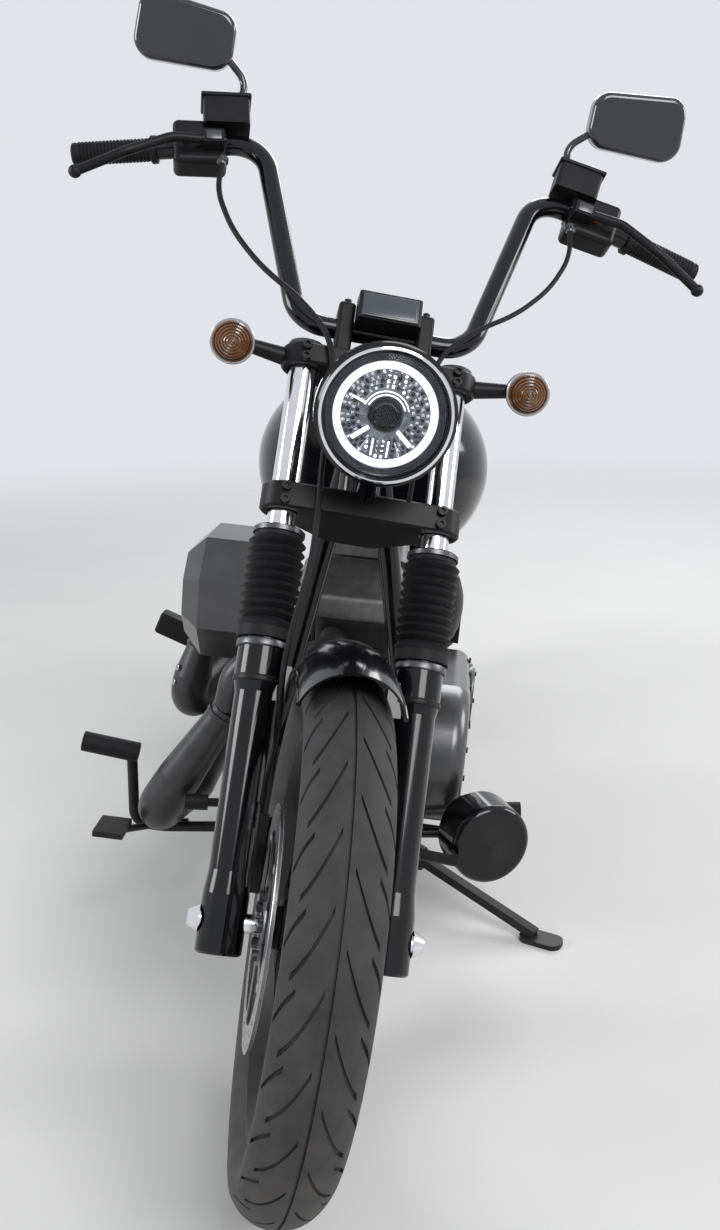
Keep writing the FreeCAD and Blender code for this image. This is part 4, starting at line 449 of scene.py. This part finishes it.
def discFor(end):
    across, hubFace, place, body = discRows[end]
    half = brake["thick"] / 2
    low, high, inner, outer = across - half, across + half, brake["inner"], brake["outer"]
    ring = lathe(end + "Disc", [(low, inner), (low, outer - 0.6), (low + 0.6, outer), (high - 0.6, outer),
                                (high, outer - 0.6), (high, inner)], 120, "brushed")
    drills = []
    for radius, offset in brake["rows"]:
        for index in range(brake["around"]):
            angle = 2 * math.pi * (index + offset) / brake["around"]
            spot = Vector((across, radius * math.cos(angle), radius * math.sin(angle))) * mm
            bpy.ops.mesh.primitive_cylinder_add(vertices=12, radius=brake["hole"] * mm, depth=0.02,
                                                location=spot, rotation=(0, math.pi / 2, 0))
            drills.append(bpy.context.object)
    tool = joined("drills", drills)
    bpy.ops.object.transform_apply(location=True, rotation=True, scale=True)
    alone(ring)
    holes = ring.modifiers.new("holes", "BOOLEAN")
    holes.operation, holes.object, holes.solver = "DIFFERENCE", tool, "EXACT"
    bpy.ops.object.modifier_apply(modifier="holes")
    bpy.data.objects.remove(tool)
    parts = [ring]
    long = brake["armTo"] - brake["armFrom"]
    rivetRows = [(low - 1.2, 0), (low - 1.2, 5), (low - 0.4, 6.5), (high + 1, 6.5), (high + 1, 0)]
    screwRows = [(low - 5, 0), (low - 5, 3.2), (low - 7, 3.6), (low - 7, 6), (low - 6, 7), (low, 7), (low, 0)]
    for index in range(brake["arms"]):
        turned = Matrix.Rotation(2 * math.pi * index / brake["arms"], 4, "X")
        between = turned @ Matrix.Rotation(math.pi / brake["arms"], 4, "X")
        arm = block("arm", (brake["thick"] - 0.6, long, brake["armWide"]), "gunmetal", 1.2)
        middle = Matrix.Translation((across * mm, (brake["armFrom"] + long / 2) * mm, 0))
        parts.append(baked(arm, turned @ middle))
        rivet = lathe("rivet", rivetRows, 16, "brushed")
        parts.append(baked(rivet, turned @ Matrix.Translation((0, brake["rivetAt"] * mm, 0))))
        screw = lathe("screw", screwRows, 12, "darkSteel")
        parts.append(baked(screw, between @ Matrix.Translation((0, brake["screwAt"] * mm, 0))))
    bore, hub = brake["bore"], brake["hub"]
    parts.append(lathe("middle", [(low, bore), (low, hub - 2), (low + 2, hub), (hubFace, hub),
                                  (hubFace, bore)], 48, "gunmetal"))
    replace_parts(settle(joined(end + "Disc", parts), place, body), end + "_disc")


for end in discRows:
    discFor(end)
print("discs done")

# Headlamp: clear dome, bowl, white ring and dark eye, in the lamp frame (x forward on the lathe)
forward = Matrix.Rotation(math.radians(-90), 4, "Z")
lampPlace = lamp @ forward
glassEdge, ringOut, ringIn, eyeEdge = 77.6, 66, 56.5, 22
lampRows = {
    "lampBowl": ("reflector", 96, [
        (-7.4, 0), (-7.4, glassEdge - 2.3), (2.5, glassEdge - 2.3), (0, 68), (-3, ringIn), (-6, 32), (-6.6, 0),
    ]),
    "lampRing": ("halo", 96, [
        (-4, ringIn), (0.5, ringIn), (3.5, ringIn + 2.5), (3.5, ringOut - 2), (0.5, ringOut), (-4, ringOut),
    ]),
    "lampCollar": ("facetDark", 96, [
        (-4, ringOut + 0.5), (2, ringOut + 0.5), (3.4, ringOut + 4), (2.8, glassEdge - 3), (-4, glassEdge - 3),
    ]),
    "lampEye": ("darkLens", 64, [
        (-6, 0), (-6, eyeEdge), (2, eyeEdge), (4, eyeEdge - 2), (4.5, eyeEdge - 5), (9, 14), (10, 0),
    ]),
}
lens = lathe("lampGlass", [
    (-7.6, glassEdge), (7, glassEdge), (11.5, 64), (15, 49), (17.5, 32), (19, 15), (19.4, 0), (17.4, 0),
    (15.5, 32), (9.5, 64), (5, glassEdge - 2), (-7.6, glassEdge - 2),
], 96, "clear")
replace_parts(settle(lens, lampPlace, "steering"), "headlamp_lens")
for name, (look, steps, section) in lampRows.items():
    settle(lathe(name, section, steps, look), lampPlace, "steering")

# Rings of facets: radius, count and how far round from the top the extra bright ones reach, in degrees. Bright
# facets are chrome and the rest a darkened copy of chrome, painted light and shade on the bowl; the extra
# bright ones over the top are a painted reflection of the sky
facet = {"size": (2.0, 4.0, 4.6), "foot": -4.6, "rise": 0.04, "tips": (-0.4, 0.5),
         "rings": ((35, 30, 88), (41, 36, 100), (47, 42, 104), (53, 46, 112))}
# Light bars: name, size, look, edge, turn in degrees and place
barRows = [("beam", (2.4, 24, 2.6), "halo", 0.8, -18, (0.4, -40, 2))]
for side in both:
    barRows += [("bar", (2.4, 2.6, 21), "halo", 0.8, 0, (0.4, side * 10, -42)),
                ("wing", (2.4, 2.2, 15), "chrome", 0.8, side * 28, (0.4, 0, -44)),
                ("foot", (2.8, 26, 5.5), "halo", 1.2, side * -40, (0.8, side * 38, -2))]
arch = {"rings": ((1.6, 3.6), (6.2, 8.0)), "cut": 9, "front": 4.4}
lampBits = []
for radius, count, upper in facet["rings"]:
    for index in range(count):
        angle = 360 * (index + 0.5) / count - 180
        # Painted light: every third facet is chrome, and within the reach over the top another of each three is
        # chrome too, a painted reflection of the sky; the others take facetDark, painted shade
        bright = index % 3 == 0 or (index % 3 == 2 and abs(angle) < upper)
        bit = block("facet", facet["size"], "chrome" if bright else "facetDark", 0.6, 1)
        place = Matrix.Translation(((facet["foot"] + facet["rise"] * radius) * mm, 0, radius * mm))
        tipped = Matrix.Rotation(facet["tips"][index % 2], 4, "Y")
        lampBits.append(baked(bit, Matrix.Rotation(math.radians(angle), 4, "X") @ place @ tipped))
for name, size, look, edge, turn, spot in barRows:
    turned = Matrix.Rotation(math.radians(turn), 4, "X") @ Matrix.Translation(Vector(spot) * mm)
    lampBits.append(baked(block(name, size, look, edge), turned))
for inner, outer in arch["rings"]:
    front = arch["front"]
    half = lathe("arch", [(1, eyeEdge + inner), (front, eyeEdge + inner + 0.5), (front, eyeEdge + outer - 0.5),
                          (1, eyeEdge + outer)], 64, "halo")
    editing(True)
    bpy.ops.mesh.select_all(action="SELECT")
    bpy.ops.mesh.bisect(plane_co=(0, 0, arch["cut"] * mm), plane_no=(0, 0, 1), use_fill=True, clear_inner=True)
    nothingSelected()
    lampBits.append(half)
settle(joined("lampFacets", lampBits), lampPlace, "steering")
trim = lathe("lampTrim", [(13.2, 80.6), (15.8, 80.6), (16.2, 82), (15, 84.2), (13, 84.2)], 96, "chrome")
settle(trim, lampPlace, "steering")
print("headlamp done")

# Ribbed grips with a flange at the inner end and a plug at the outer end
barEnd, barTop = Vector((480, 45, 1064)), Vector((209, 0, 1112))
barWay = (barTop - barEnd).normalized()
gripShape = {"long": 127, "radius": 16.6, "rib": 1.3, "pitch": 5.2, "flange": 20, "bore": 14.9}
gripTop, gripLow, flange = gripShape["radius"], gripShape["radius"] - gripShape["rib"], gripShape["flange"]
gripRows = [(-5.2, 0), (-5.2, 13), (-3.6, 15.4), (0, gripTop - 0.4)]
step = gripShape["pitch"]
for index in range(int((gripShape["long"] - 22) / step)):
    start = 4 + index * step
    gripRows += [(start, gripLow), (start + 1.1, gripLow), (start + 1.7, gripTop),
                 (start + step - 0.6, gripTop)]
gripRows += [(110, gripTop - 1.2), (113, flange), (121, flange), (122, flange - 2), (122, gripShape["bore"]),
             (-0.2, gripShape["bore"]), (-0.2, 0)]
grips = []
for side in both:
    grip = lathe("grip", gripRows, 40, "softRubber")
    spot, way = barEnd.copy(), barWay.copy()
    spot.x, way.x = side * spot.x, side * way.x
    grips.append(baked(grip, pointing(spot, way)))
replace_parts(settle(joined("ribbedGrips", grips), fork, "steering"), "grips")
print("grips done")

# Switch housings: buttons, a parting line, lid plates, perch caps and a banjo fitting where each hose starts
housingSpot, housingDrop = Vector((301.2, 15.3, 1095.7)), math.atan2(0.1721, 0.9716)
housing = Matrix.Translation(housingSpot * mm) @ Matrix.Rotation(housingDrop, 4, "Y")
hoseStart, hoseWay = (262, -20, 1058), (0, -0.2, -1)
controlRows = [
    ("button", (-18, -27.5, -8), (13, 4, 9), "darkSteel"),
    ("button", (2, -27.5, -10), (10, 4, 10), "signalLens"),
    ("button", (20, -27.5, -6), (10, 3.4, 14), "darkSteel"),
    ("parting", (0, -3, -3), (79.5, 49.6, 1.4), "darkSteel"),
    ("lidPlate", (-40, -20, 64.4), (60, 36, 1.6), "blueGrey"),
    ("perchCap", (-20, -50.4, -12), (22, 3, 14), "darkSteel"),
]
for side, label in zip(both, ("left", "right")):
    parts = []
    for name, spot, size, look in controlRows:
        place = Matrix.Diagonal((side, 1, 1, 1)) @ housing @ Matrix.Translation(Vector(spot) * mm)
        parts.append(baked(block(name, size, look, 0.8), place))
        if side < 0:
            parts[-1].data.flip_normals()
    banjo = lathe("banjo", [(-5, 0), (-5, 6), (-3, 8.5), (3, 8.5), (5, 6), (8, 5), (8, 0)], 20, "gunmetal")
    parts.append(baked(banjo, pointing((side * hoseStart[0], *hoseStart[1:]), hoseWay)))
    settle(joined(label + "Switches", parts), fork, "steering")
print("controls done")

# Signal lamps: ringed dome and a thin grey rim on each
signal = {"edge": 27.4, "crown": 22.6, "rings": 7, "foot": 12}
domeRows = [(6.8, 0), (6.8, signal["edge"]), (11, signal["edge"])]
for index in range(signal["rings"]):
    share = index / signal["rings"]
    radius = signal["edge"] * (1 - share) - 0.6
    lift = signal["foot"] + (signal["crown"] - signal["foot"]) * (1 - (radius / signal["edge"]) ** 2)
    domeRows += [(lift, radius), (lift + 0.9, radius - 1.5), (lift - 0.1, radius - 3)]
domeRows = [row for row in domeRows if row[1] >= 0] + [(signal["crown"], 0)]
rimRows = [(2, 29.1), (2, 30.2), (8.6, 30.4), (9.6, 29.6), (9.6, 27.6), (8, 27.6), (8, 29.1)]
frontTurn, rearTurn = Matrix.Rotation(rake, 4, "X") @ forward, Matrix.Rotation(math.pi / 2, 4, "Z")
signalRows = {"front": ((0.204, -0.090, 0.748), frontTurn, fork, "steering"),
              "rear": ((0.172, 1.696, 0.606), rearTurn, bike, "frame")}
for end, ((out, back, high), turned, base, body) in signalRows.items():
    domes, rims = [], []
    for side in both:
        spot = Matrix.Translation((side * out, back, high)) @ turned
        domes.append(baked(lathe("dome", domeRows, 48, "signalLens"), spot))
        rims.append(baked(lathe("rim", rimRows, 48, "brushed"), spot))
    settle(joined(end + "SignalLenses", domes), base, body)
    settle(joined(end + "SignalRims", rims), base, body)
print("signals done")

# Seat: a moulded pad that narrows to the tank, dips for the rider and rises at the back
seatShape = {"cuts": 39, "soft": 0.62, "under": 0.3, "crown": 7, "ends": 0.3, "sideBow": 0.12, "topBow": 0.10,
             "welt": 0.22, "weltDeep": 3.2, "weltWide": 0.035, "rim": 0.97, "channels": (0.30, 0.42, 0.54),
             "channelDeep": 2.6, "channelWide": 0.008, "channelReach": 0.72}
# Stations from front to back: y, underside, top and half width
seatRows = [
    (950, 664, 740, 82), (975, 660, 735, 98), (1010, 656, 722, 120), (1056, 653, 711, 132),
    (1120, 652, 712, 135), (1180, 652, 724, 133), (1236, 652, 745, 124), (1262, 654, 756, 116),
    (1300, 660, 762, 110), (1350, 668, 765, 104), (1380, 676, 762, 96), (1396, 684, 752, 84),
]


def stationAt(y):
    for before, after in zip(seatRows, seatRows[1:]):
        if y <= after[0]:
            share = max(0, (y - before[0]) / (after[0] - before[0]))
            return [a + (b - a) * share for a, b in zip(before, after)]
    return list(seatRows[-1])


bpy.ops.object.select_all(action="DESELECT")
bpy.ops.mesh.primitive_cube_add(size=2)
seat = bpy.context.object
seat.name = "seatPad"
editing(True)
bpy.ops.mesh.subdivide(number_cuts=seatShape["cuts"])
nothingSelected()
soft, rim, channelWide = seatShape["soft"], seatShape["rim"], seatShape["channelWide"]
seatStart, seatLong = seatRows[0][0], seatRows[-1][0] - seatRows[0][0]
for vertex in seat.data.vertices:
    u, v, w = vertex.co
    y, low, high, half = stationAt(seatStart + (v + 1) / 2 * seatLong)
    under = seatShape["under"] if w < 0 else 1
    across = u * math.sqrt(1 - soft * under * w * w / 2) * math.sqrt(1 - soft * v * v / 2)
    up = w * math.sqrt(1 - soft * under * u * u / 2) * math.sqrt(1 - seatShape["ends"] * v ** 8)
    along = v * math.sqrt(1 - seatShape["sideBow"] * u * u) * math.sqrt(1 - seatShape["topBow"] * w * w)
    sag = seatShape["crown"] * max(0, up) * u * u
    welt = pressed = 0
    if max(abs(u), abs(v)) > rim:
        welt = seatShape["weltDeep"] * math.exp(-((w - seatShape["welt"]) / seatShape["weltWide"]) ** 2)
    if w > rim and abs(u) < seatShape["channelReach"]:
        share = (v + 1) / 2
        pressed = sum(math.exp(-((share - spot) / channelWide) ** 2) for spot in seatShape["channels"])
    vertex.co = (across * (half - welt) * mm, (seatStart + seatLong / 2 + along * (seatLong / 2 - welt)) * mm,
                 ((low + high) / 2 + up * (high - low) / 2 - sag - seatShape["channelDeep"] * pressed) * mm)
alone(seat)
smoothing = seat.modifiers.new("smooth", "SUBSURF")
smoothing.levels = smoothing.render_levels = 1
bpy.ops.object.modifier_apply(modifier="smooth")
seat.data.materials.append(looks["hide"])
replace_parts(settle(seat, bike, "frame", 60), "seat")
print("seat done")

# Instrument: blue-grey face with a light frame forward, dark screen to the rider
gauge = {"face": (72, 2.4, 32), "frame": (78, 3, 37), "screen": (70, 2, 34), "lean": 6.8,
         "frameAt": (0, -0.1095, 0.8275), "faceAhead": (0, -0.0008, 0), "screenAt": (0, -0.0675, 0.829)}
gaugeAt = Matrix.Translation(gauge["frameAt"]) @ Matrix.Rotation(math.radians(-gauge["lean"]), 4, "X")
frameRim = block("gaugeFrame", gauge["frame"], "gunmetal", 3, 3)
settle(frameRim, fork @ gaugeAt, "steering")
face = block("gaugeFace", gauge["face"], "blueGrey", 2.5, 3)
settle(face, fork @ gaugeAt @ Matrix.Translation(gauge["faceAhead"]), "steering")
screen = block("gaugeScreen", gauge["screen"], "darkLens", 2, 3)
settle(screen, fork @ Matrix.Translation(gauge["screenAt"]), "steering")

# Mirror glass facing the rider
mirrorOutline = [
    (-70, -17), (-64, -30), (-43, -42), (0, -43), (45, -44), (66, -32), (72, -17), (72, 6), (68, 26), (47, 46),
    (0, 42), (-47, 36), (-64, 26), (-70, 12),
]
mirror = {"scale": 0.92, "deep": 0.0014, "back": 0.0002, "across": 0.344, "rear": -0.030, "up": 1.247}
glasses = []
for side in both:
    bpy.ops.object.select_all(action="DESELECT")
    bpy.ops.mesh.primitive_circle_add(vertices=len(mirrorOutline), radius=1, fill_type="NGON")
    pane = bpy.context.object
    for vertex, (x, z) in zip(pane.data.vertices, mirrorOutline):
        vertex.co = (side * x * mirror["scale"] * mm, mirror["back"], z * mirror["scale"] * mm)
    editing(True)
    bpy.ops.mesh.select_all(action="SELECT")
    bpy.ops.mesh.extrude_region_move(TRANSFORM_OT_translate={"value": (0, mirror["deep"], 0)})
    bpy.ops.mesh.select_all(action="SELECT")
    bpy.ops.mesh.normals_make_consistent(inside=False)
    nothingSelected()
    pane.data.materials.append(looks["mirrorGlass"])
    place = Matrix.Translation((side * mirror["across"], mirror["rear"], mirror["up"]))
    glasses.append(baked(pane, place @ Matrix.Rotation(rake, 4, "X")))
settle(joined("mirrorGlass", glasses), fork, "steering")
print("instrument and mirrors done")

# Fork trim: collars under the gaiters, dust rings, caps on the tube ends
legOut, legAhead = 0.104, -0.064
upLeg = Matrix.Rotation(-math.pi / 2, 4, "Y")
legs = [Matrix.Translation((side * legOut, legAhead, 0)) @ upLeg for side in both]
trimRows = {
    "gaiterCollars": ("darkSteel", "steel", [
        (342, 31.2), (342, 32.8), (343.5, 34), (350, 34), (352, 33), (352, 31.2),
    ]),
    "gaiterClips": ("darkSteel", "steel", [(497, 33), (497, 34.6), (503, 34.6), (503, 33)]),
    "tubeCaps": ("gunmetal", "graphite", [
        (765.2, 20), (765.2, 25), (768, 26), (772, 25), (773.5, 22), (773.5, 11), (778, 10), (778, 0),
        (769.3, 0), (769.3, 20),
    ]),
    "sliderSteps": ("satinBlack", "satin_black", [(296, 29), (298, 32.4), (303, 32.4), (305, 31)]),
}
for name, (look, slot, section) in trimRows.items():
    rings = [baked(lathe(name, section, 48, look), leg) for leg in legs]
    settle(joined(name, rings), fork, "steering")
print("fork trim done")


# Rolled edges along both fenders, spun over the same sweep as the fender
def bead(name, across, radius, thick, start, sweep, steps, look):
    bpy.ops.object.select_all(action="DESELECT")
    bpy.ops.mesh.primitive_circle_add(vertices=12, radius=thick * mm, fill_type="NGON",
                                      rotation=(math.pi / 2, 0, 0))
    piece = bpy.context.object
    piece.name = name
    bpy.ops.object.transform_apply(location=False, rotation=True, scale=False)
    for vertex in piece.data.vertices:
        vertex.co += Vector((across * mm, 0, radius * mm))
    piece.data.transform(Matrix.Rotation(math.radians(start), 4, "X"))
    editing(True)
    bpy.ops.mesh.select_all(action="SELECT")
    bpy.ops.mesh.spin(steps=steps, angle=-math.radians(sweep), center=(0, 0, 0), axis=(1, 0, 0))
    bpy.ops.mesh.select_all(action="SELECT")
    bpy.ops.mesh.normals_make_consistent(inside=False)
    nothingSelected()
    piece.data.materials.append(looks[look])
    return piece


frontPlace = fork @ Matrix.Translation((0, legAhead, 0))
# Half width, radius, start and sweep in degrees, frame and body
fenderRows = {"front": (61.5, 315, stance["rake"] + 18 - 90, 80, frontPlace, "steering"),
              "rear": (97.5, 307, 16 - 90, 132, rearHub, "frame")}
for end, (across, radius, start, sweep, place, body) in fenderRows.items():
    edges = [bead("edge", side * across, radius, 3.2, start, sweep, 60, "glossBlack") for side in both]
    settle(joined(end + "FenderEdge", edges), place, body)
print("fender edges done")

# Rear pulley: toothed rim and a ring of dimples on the outer face
pulley = {"teeth": 70, "toothSize": (17, 2.4, 2.2), "across": 90, "out": 111.9, "dimples": 5, "dimpleOut": 62}
dimpleRows = [(94.4, 0), (94.4, 12), (96.4, 12), (97.4, 10.5), (97.4, 8), (95.4, 7), (95.4, 0)]
teeth = []
for index in range(pulley["teeth"]):
    tooth = block("tooth", pulley["toothSize"], "satinBlack", 0.5, 1)
    place = Matrix.Translation((pulley["across"] * mm, 0, pulley["out"] * mm))
    teeth.append(baked(tooth, Matrix.Rotation(2 * math.pi * index / pulley["teeth"], 4, "X") @ place))
for index in range(pulley["dimples"]):
    dimple = lathe("dimple", dimpleRows, 24, "brushed")
    place = Matrix.Translation((0, 0, pulley["dimpleOut"] * mm))
    teeth.append(baked(dimple, Matrix.Rotation(2 * math.pi * index / pulley["dimples"], 4, "X") @ place))
settle(joined("pulleyTrim", teeth), rearHub, "rear_wheel")

# Horn cover: a dark dome with a bright lip, over the horn on the left
hornSpot = bike @ Matrix.Translation((0.128, 0.690, 0.570))
hornEdge, hornDeep = 68, 44
domeSection = [
    (-3, 0), (-3, hornEdge - 2), (12, hornEdge), (24, hornEdge - 5), (34, 50), (41, 30), (hornDeep, 10),
    (hornDeep, 0),
]
dome = lathe("hornDome", domeSection, 72, "satinBlack")
settle(dome, hornSpot, "frame", 50)
lipSection = [(7, hornEdge), (7, hornEdge + 2.2), (12, hornEdge + 2.2), (14, hornEdge - 0.4)]
lip = lathe("hornLip", lipSection, 72, "brushed")
settle(lip, hornSpot, "frame")
print("horn done")

# Air cleaner: a raised panel on the outer face with a seam round its middle
panelOutline = [(-92, -36), (-48, -90), (48, -90), (92, -36), (92, 36), (48, 90), (-48, 90), (-92, 36)]
cleaner = {"face": -299.6, "lift": 4, "shrink": 0.60, "y": 690, "z": 555, "border": 6, "seam": 2,
           "seamDeep": 2.5, "edge": 0.8}
bpy.ops.object.select_all(action="DESELECT")
bpy.ops.mesh.primitive_circle_add(vertices=len(panelOutline), radius=1, fill_type="NGON")
panel = bpy.context.object
panel.name = "cleanerPanel"
for vertex, (y, z) in zip(panel.data.vertices, panelOutline):
    vertex.co = (cleaner["face"] * mm, (cleaner["y"] + y * cleaner["shrink"]) * mm,
                 (cleaner["z"] + z * cleaner["shrink"]) * mm)
editing(True)
bpy.ops.mesh.select_all(action="SELECT")
bpy.ops.mesh.extrude_region_move(TRANSFORM_OT_translate={"value": (-cleaner["lift"] * mm, 0, 0)})
bpy.ops.mesh.inset(thickness=cleaner["border"] * mm, depth=0)
bpy.ops.mesh.inset(thickness=cleaner["seam"] * mm, depth=0)
bpy.ops.transform.translate(value=(cleaner["seamDeep"] * mm, 0, 0))
bpy.ops.mesh.select_all(action="SELECT")
bpy.ops.mesh.normals_make_consistent(inside=False)
nothingSelected()
panel.data.materials.append(looks["satinBlack"])
alone(panel)
softer = panel.modifiers.new("edge", "BEVEL")
softer.width, softer.segments = cleaner["edge"] * mm, 2
bpy.ops.object.modifier_apply(modifier="edge")
settle(panel, bike, "frame")

# Engine places shared by the trim: crankshaft, half angle of the vee, and heights along each cylinder
engine = {"y": 700, "z": 300, "vee": 22.5, "headTop": 157 + 99 + 66, "rocker": 42.6}

# Clamp bands at the mufflers and collars on the pushrod tubes
bands = []
for y, z in ((1006, 205), (1116, 302)):
    for shift in (14, 34):
        bandRows = [(shift, 38), (shift + 1, 41.5), (shift + 9, 43.5), (shift + 10, 40)]
        band = lathe("band", bandRows, 48, "brushed")
        bands.append(baked(band, pointing((-266, y, z), (0, 1, 0))))
settle(joined("muffBands", bands), bike, "frame")
vee, tops = math.radians(engine["vee"]), engine["headTop"]
collars = []
for angle in (vee, -vee):
    for shift in (-20, 20):
        y, z = engine["y"] + shift, engine["z"] + 12
        foot = Vector((-122, y - math.copysign(44, angle), 388))
        crown = Vector((-80, y - math.sin(angle) * tops, z + math.cos(angle) * tops))
        way = (crown - foot).normalized()
        for along, wide in ((8, 15), (110, 12.5), ((crown - foot).length - 46, 14)):
            ring = lathe("collar", [(along, 9), (along, wide - 1), (along + 1.2, wide), (along + 8, wide),
                                    (along + 9.2, wide - 1), (along + 9.2, 9)], 24, "chrome")
            collars.append(baked(ring, pointing(foot, way)))
settle(joined("pushrodCollars", collars), bike, "frame")
print("engine trim done")

# Screws and bolts: one socket head and one hexagon head, copied to every fixing. Insets as width and lift
headInsets = {"socketHead": ((0.10, 0.08), (0.36, 0), (0.02, -0.5)), "hexHead": ((0.16, 0.14),)}


def headModel(name, vertices, look):
    bpy.ops.object.select_all(action="DESELECT")
    bpy.ops.mesh.primitive_cylinder_add(vertices=vertices, radius=1, depth=1, location=(0, 0, 0.5))
    model = bpy.context.object
    model.name = name
    bpy.ops.object.transform_apply(location=True, rotation=True, scale=True)
    for face in model.data.polygons:
        face.select = face.normal.z > 0.9
    editing(True)
    bpy.ops.mesh.select_mode(type="FACE")
    for thickness, depth in headInsets[name]:
        bpy.ops.mesh.inset(thickness=thickness, depth=depth)
    nothingSelected()
    model.data.materials.append(looks[look])
    return model


models = {"socket": headModel("socketHead", 18, "satinBlack"),
          "hex": headModel("hexHead", 6, "brushed")}


# Rows of place, way, radius and height in millimetres
def fixings(name, kind, rows, base, body):
    heads = []
    for spot, way, radius, tall in rows:
        head = models[kind].copy()
        head.data = models[kind].data.copy()
        bpy.context.collection.objects.link(head)
        sized = Matrix.Diagonal((radius * mm, radius * mm, tall * mm, 1))
        heads.append(baked(head, pointing(spot, way, "Z") @ sized))
    settle(joined(name, heads), base, body)


fixings("forkScrews", "socket", [
    *[((side * 104, -95.3, z), (0, -1, 0), 6.5, 7) for side in both for z in (742, 758, 538, 556)],
    *[((side * 56, y, 846.6), (0, 0, 1), 5, 5) for side in both for y in (-64, -40)],
], fork, "steering")
fixings("caliperScrews", "socket", [((-79.2, y, z), (-1, 0, 0), 6, 5) for y in (52, 88) for z in (56, 126)],
        fork, "steering")
# Primary cover, cam cover and clutch cover: outer faces, then the places of their screws
primaryFace, camFace = 205, -139


def ringOf(y, z, radius, angles):
    return [(y + radius * math.cos(math.radians(a)), z + radius * math.sin(math.radians(a))) for a in angles]


crank, clutch = (engine["y"], engine["z"]), (962, 306)
primarySpots = ringOf(*crank, 90, (90, 122, 154, 186, 218, 250, 270))
primarySpots += ringOf(*clutch, 80, (86, 50, 15, -20, -55, -88))
primarySpots += [(790, 390), (875, 388), (790, 214), (875, 220)]
camSpots = ((618, 384), (700, 384), (782, 384), (800, 300), (792, 262), (608, 262), (600, 300), (700, 222))
clutchSpots = ringOf(*clutch, 55, [72 * index + math.degrees(0.3) for index in range(5)])
fixings("primaryScrews", "socket", [((primaryFace - 1.5, y, z), (1, 0, 0), 5.2, 4) for y, z in primarySpots],
        bike, "frame")
fixings("clutchScrews", "socket", [((primaryFace + 12.6, y, z), (1, 0, 0), 4.4, 3.4) for y, z in clutchSpots],
        bike, "frame")
fixings("camScrews", "socket", [((camFace + 1, y, z), (-1, 0, 0), 5.2, 4) for y, z in camSpots],
        bike, "frame")
rockerTop = engine["headTop"] + engine["rocker"]
rockerScrews = []
for angle in (engine["vee"], -engine["vee"]):
    turned = Matrix.Translation((0, engine["y"], engine["z"])) @ Matrix.Rotation(math.radians(angle), 4, "X")
    for x in (-82, 52):
        for y in (-44, 44):
            spot, way = turned @ Vector((x, y, rockerTop - 2)), turned.to_3x3() @ Vector((0, 0, 1))
            rockerScrews.append((tuple(spot), tuple(way), 6, 5))
fixings("rockerScrews", "hex", rockerScrews, bike, "frame")
fixings("cleanerScrews", "socket", [((cleaner["face"] - 1, cleaner["y"], cleaner["z"]), (-1, 0, 0), 9, 6)],
        bike, "frame")
shieldFoot, shieldWay = Vector((-322, 852, 330)), Vector((-14, -4, -72)).normalized()
outward = Vector((-0.78, -0.62, 0))
outward = (outward - shieldWay * outward.dot(shieldWay)).normalized()
shieldSpots = [shieldFoot + shieldWay * reach + outward * 34.5 for reach in (-14, 16)]
fixings("shieldScrews", "hex", [(tuple(spot), tuple(outward), 6.5, 4) for spot in shieldSpots], bike, "frame")
for model in models.values():
    bpy.data.objects.remove(model)
print("fixings done")

# Pale floor that fades away into the sky at a distance
bpy.ops.object.select_all(action="DESELECT")
bpy.ops.mesh.primitive_plane_add(size=studio["floorSize"], location=(0, 0, 0))
floorItem = bpy.context.object
floorItem.name = "floor"
paper = finish("floorPaper", studio["floor"], 0.8, spread=0.02, grain=3, bump=0.01)
floorNodes, floorLinks = paper.node_tree.nodes, paper.node_tree.links
spread = floorNodes.new("ShaderNodeVectorMath")
spread.operation = "LENGTH"
fadeOut = floorNodes.new("ShaderNodeMapRange")
fadeOut.interpolation_type = "SMOOTHSTEP"
rangeEnds(fadeOut, "From", studio["clearFrom"], studio["clearTo"])
hole = floorNodes.new("ShaderNodeBsdfTransparent")
mixed = floorNodes.new("ShaderNodeMixShader")
floorLinks.new(floorNodes["Texture Coordinate"].outputs["Object"], spread.inputs[0])
floorLinks.new(spread.outputs["Value"], fadeOut.inputs["Value"])
floorLinks.new(fadeOut.outputs["Result"], mixed.inputs["Fac"])
floorLinks.new(floorNodes["Principled BSDF"].outputs["BSDF"], mixed.inputs[1])
floorLinks.new(hole.outputs["BSDF"], mixed.inputs[2])
floorLinks.new(mixed.outputs["Shader"], floorNodes["Material Output"].inputs["Surface"])
floorItem.data.materials.append(paper)
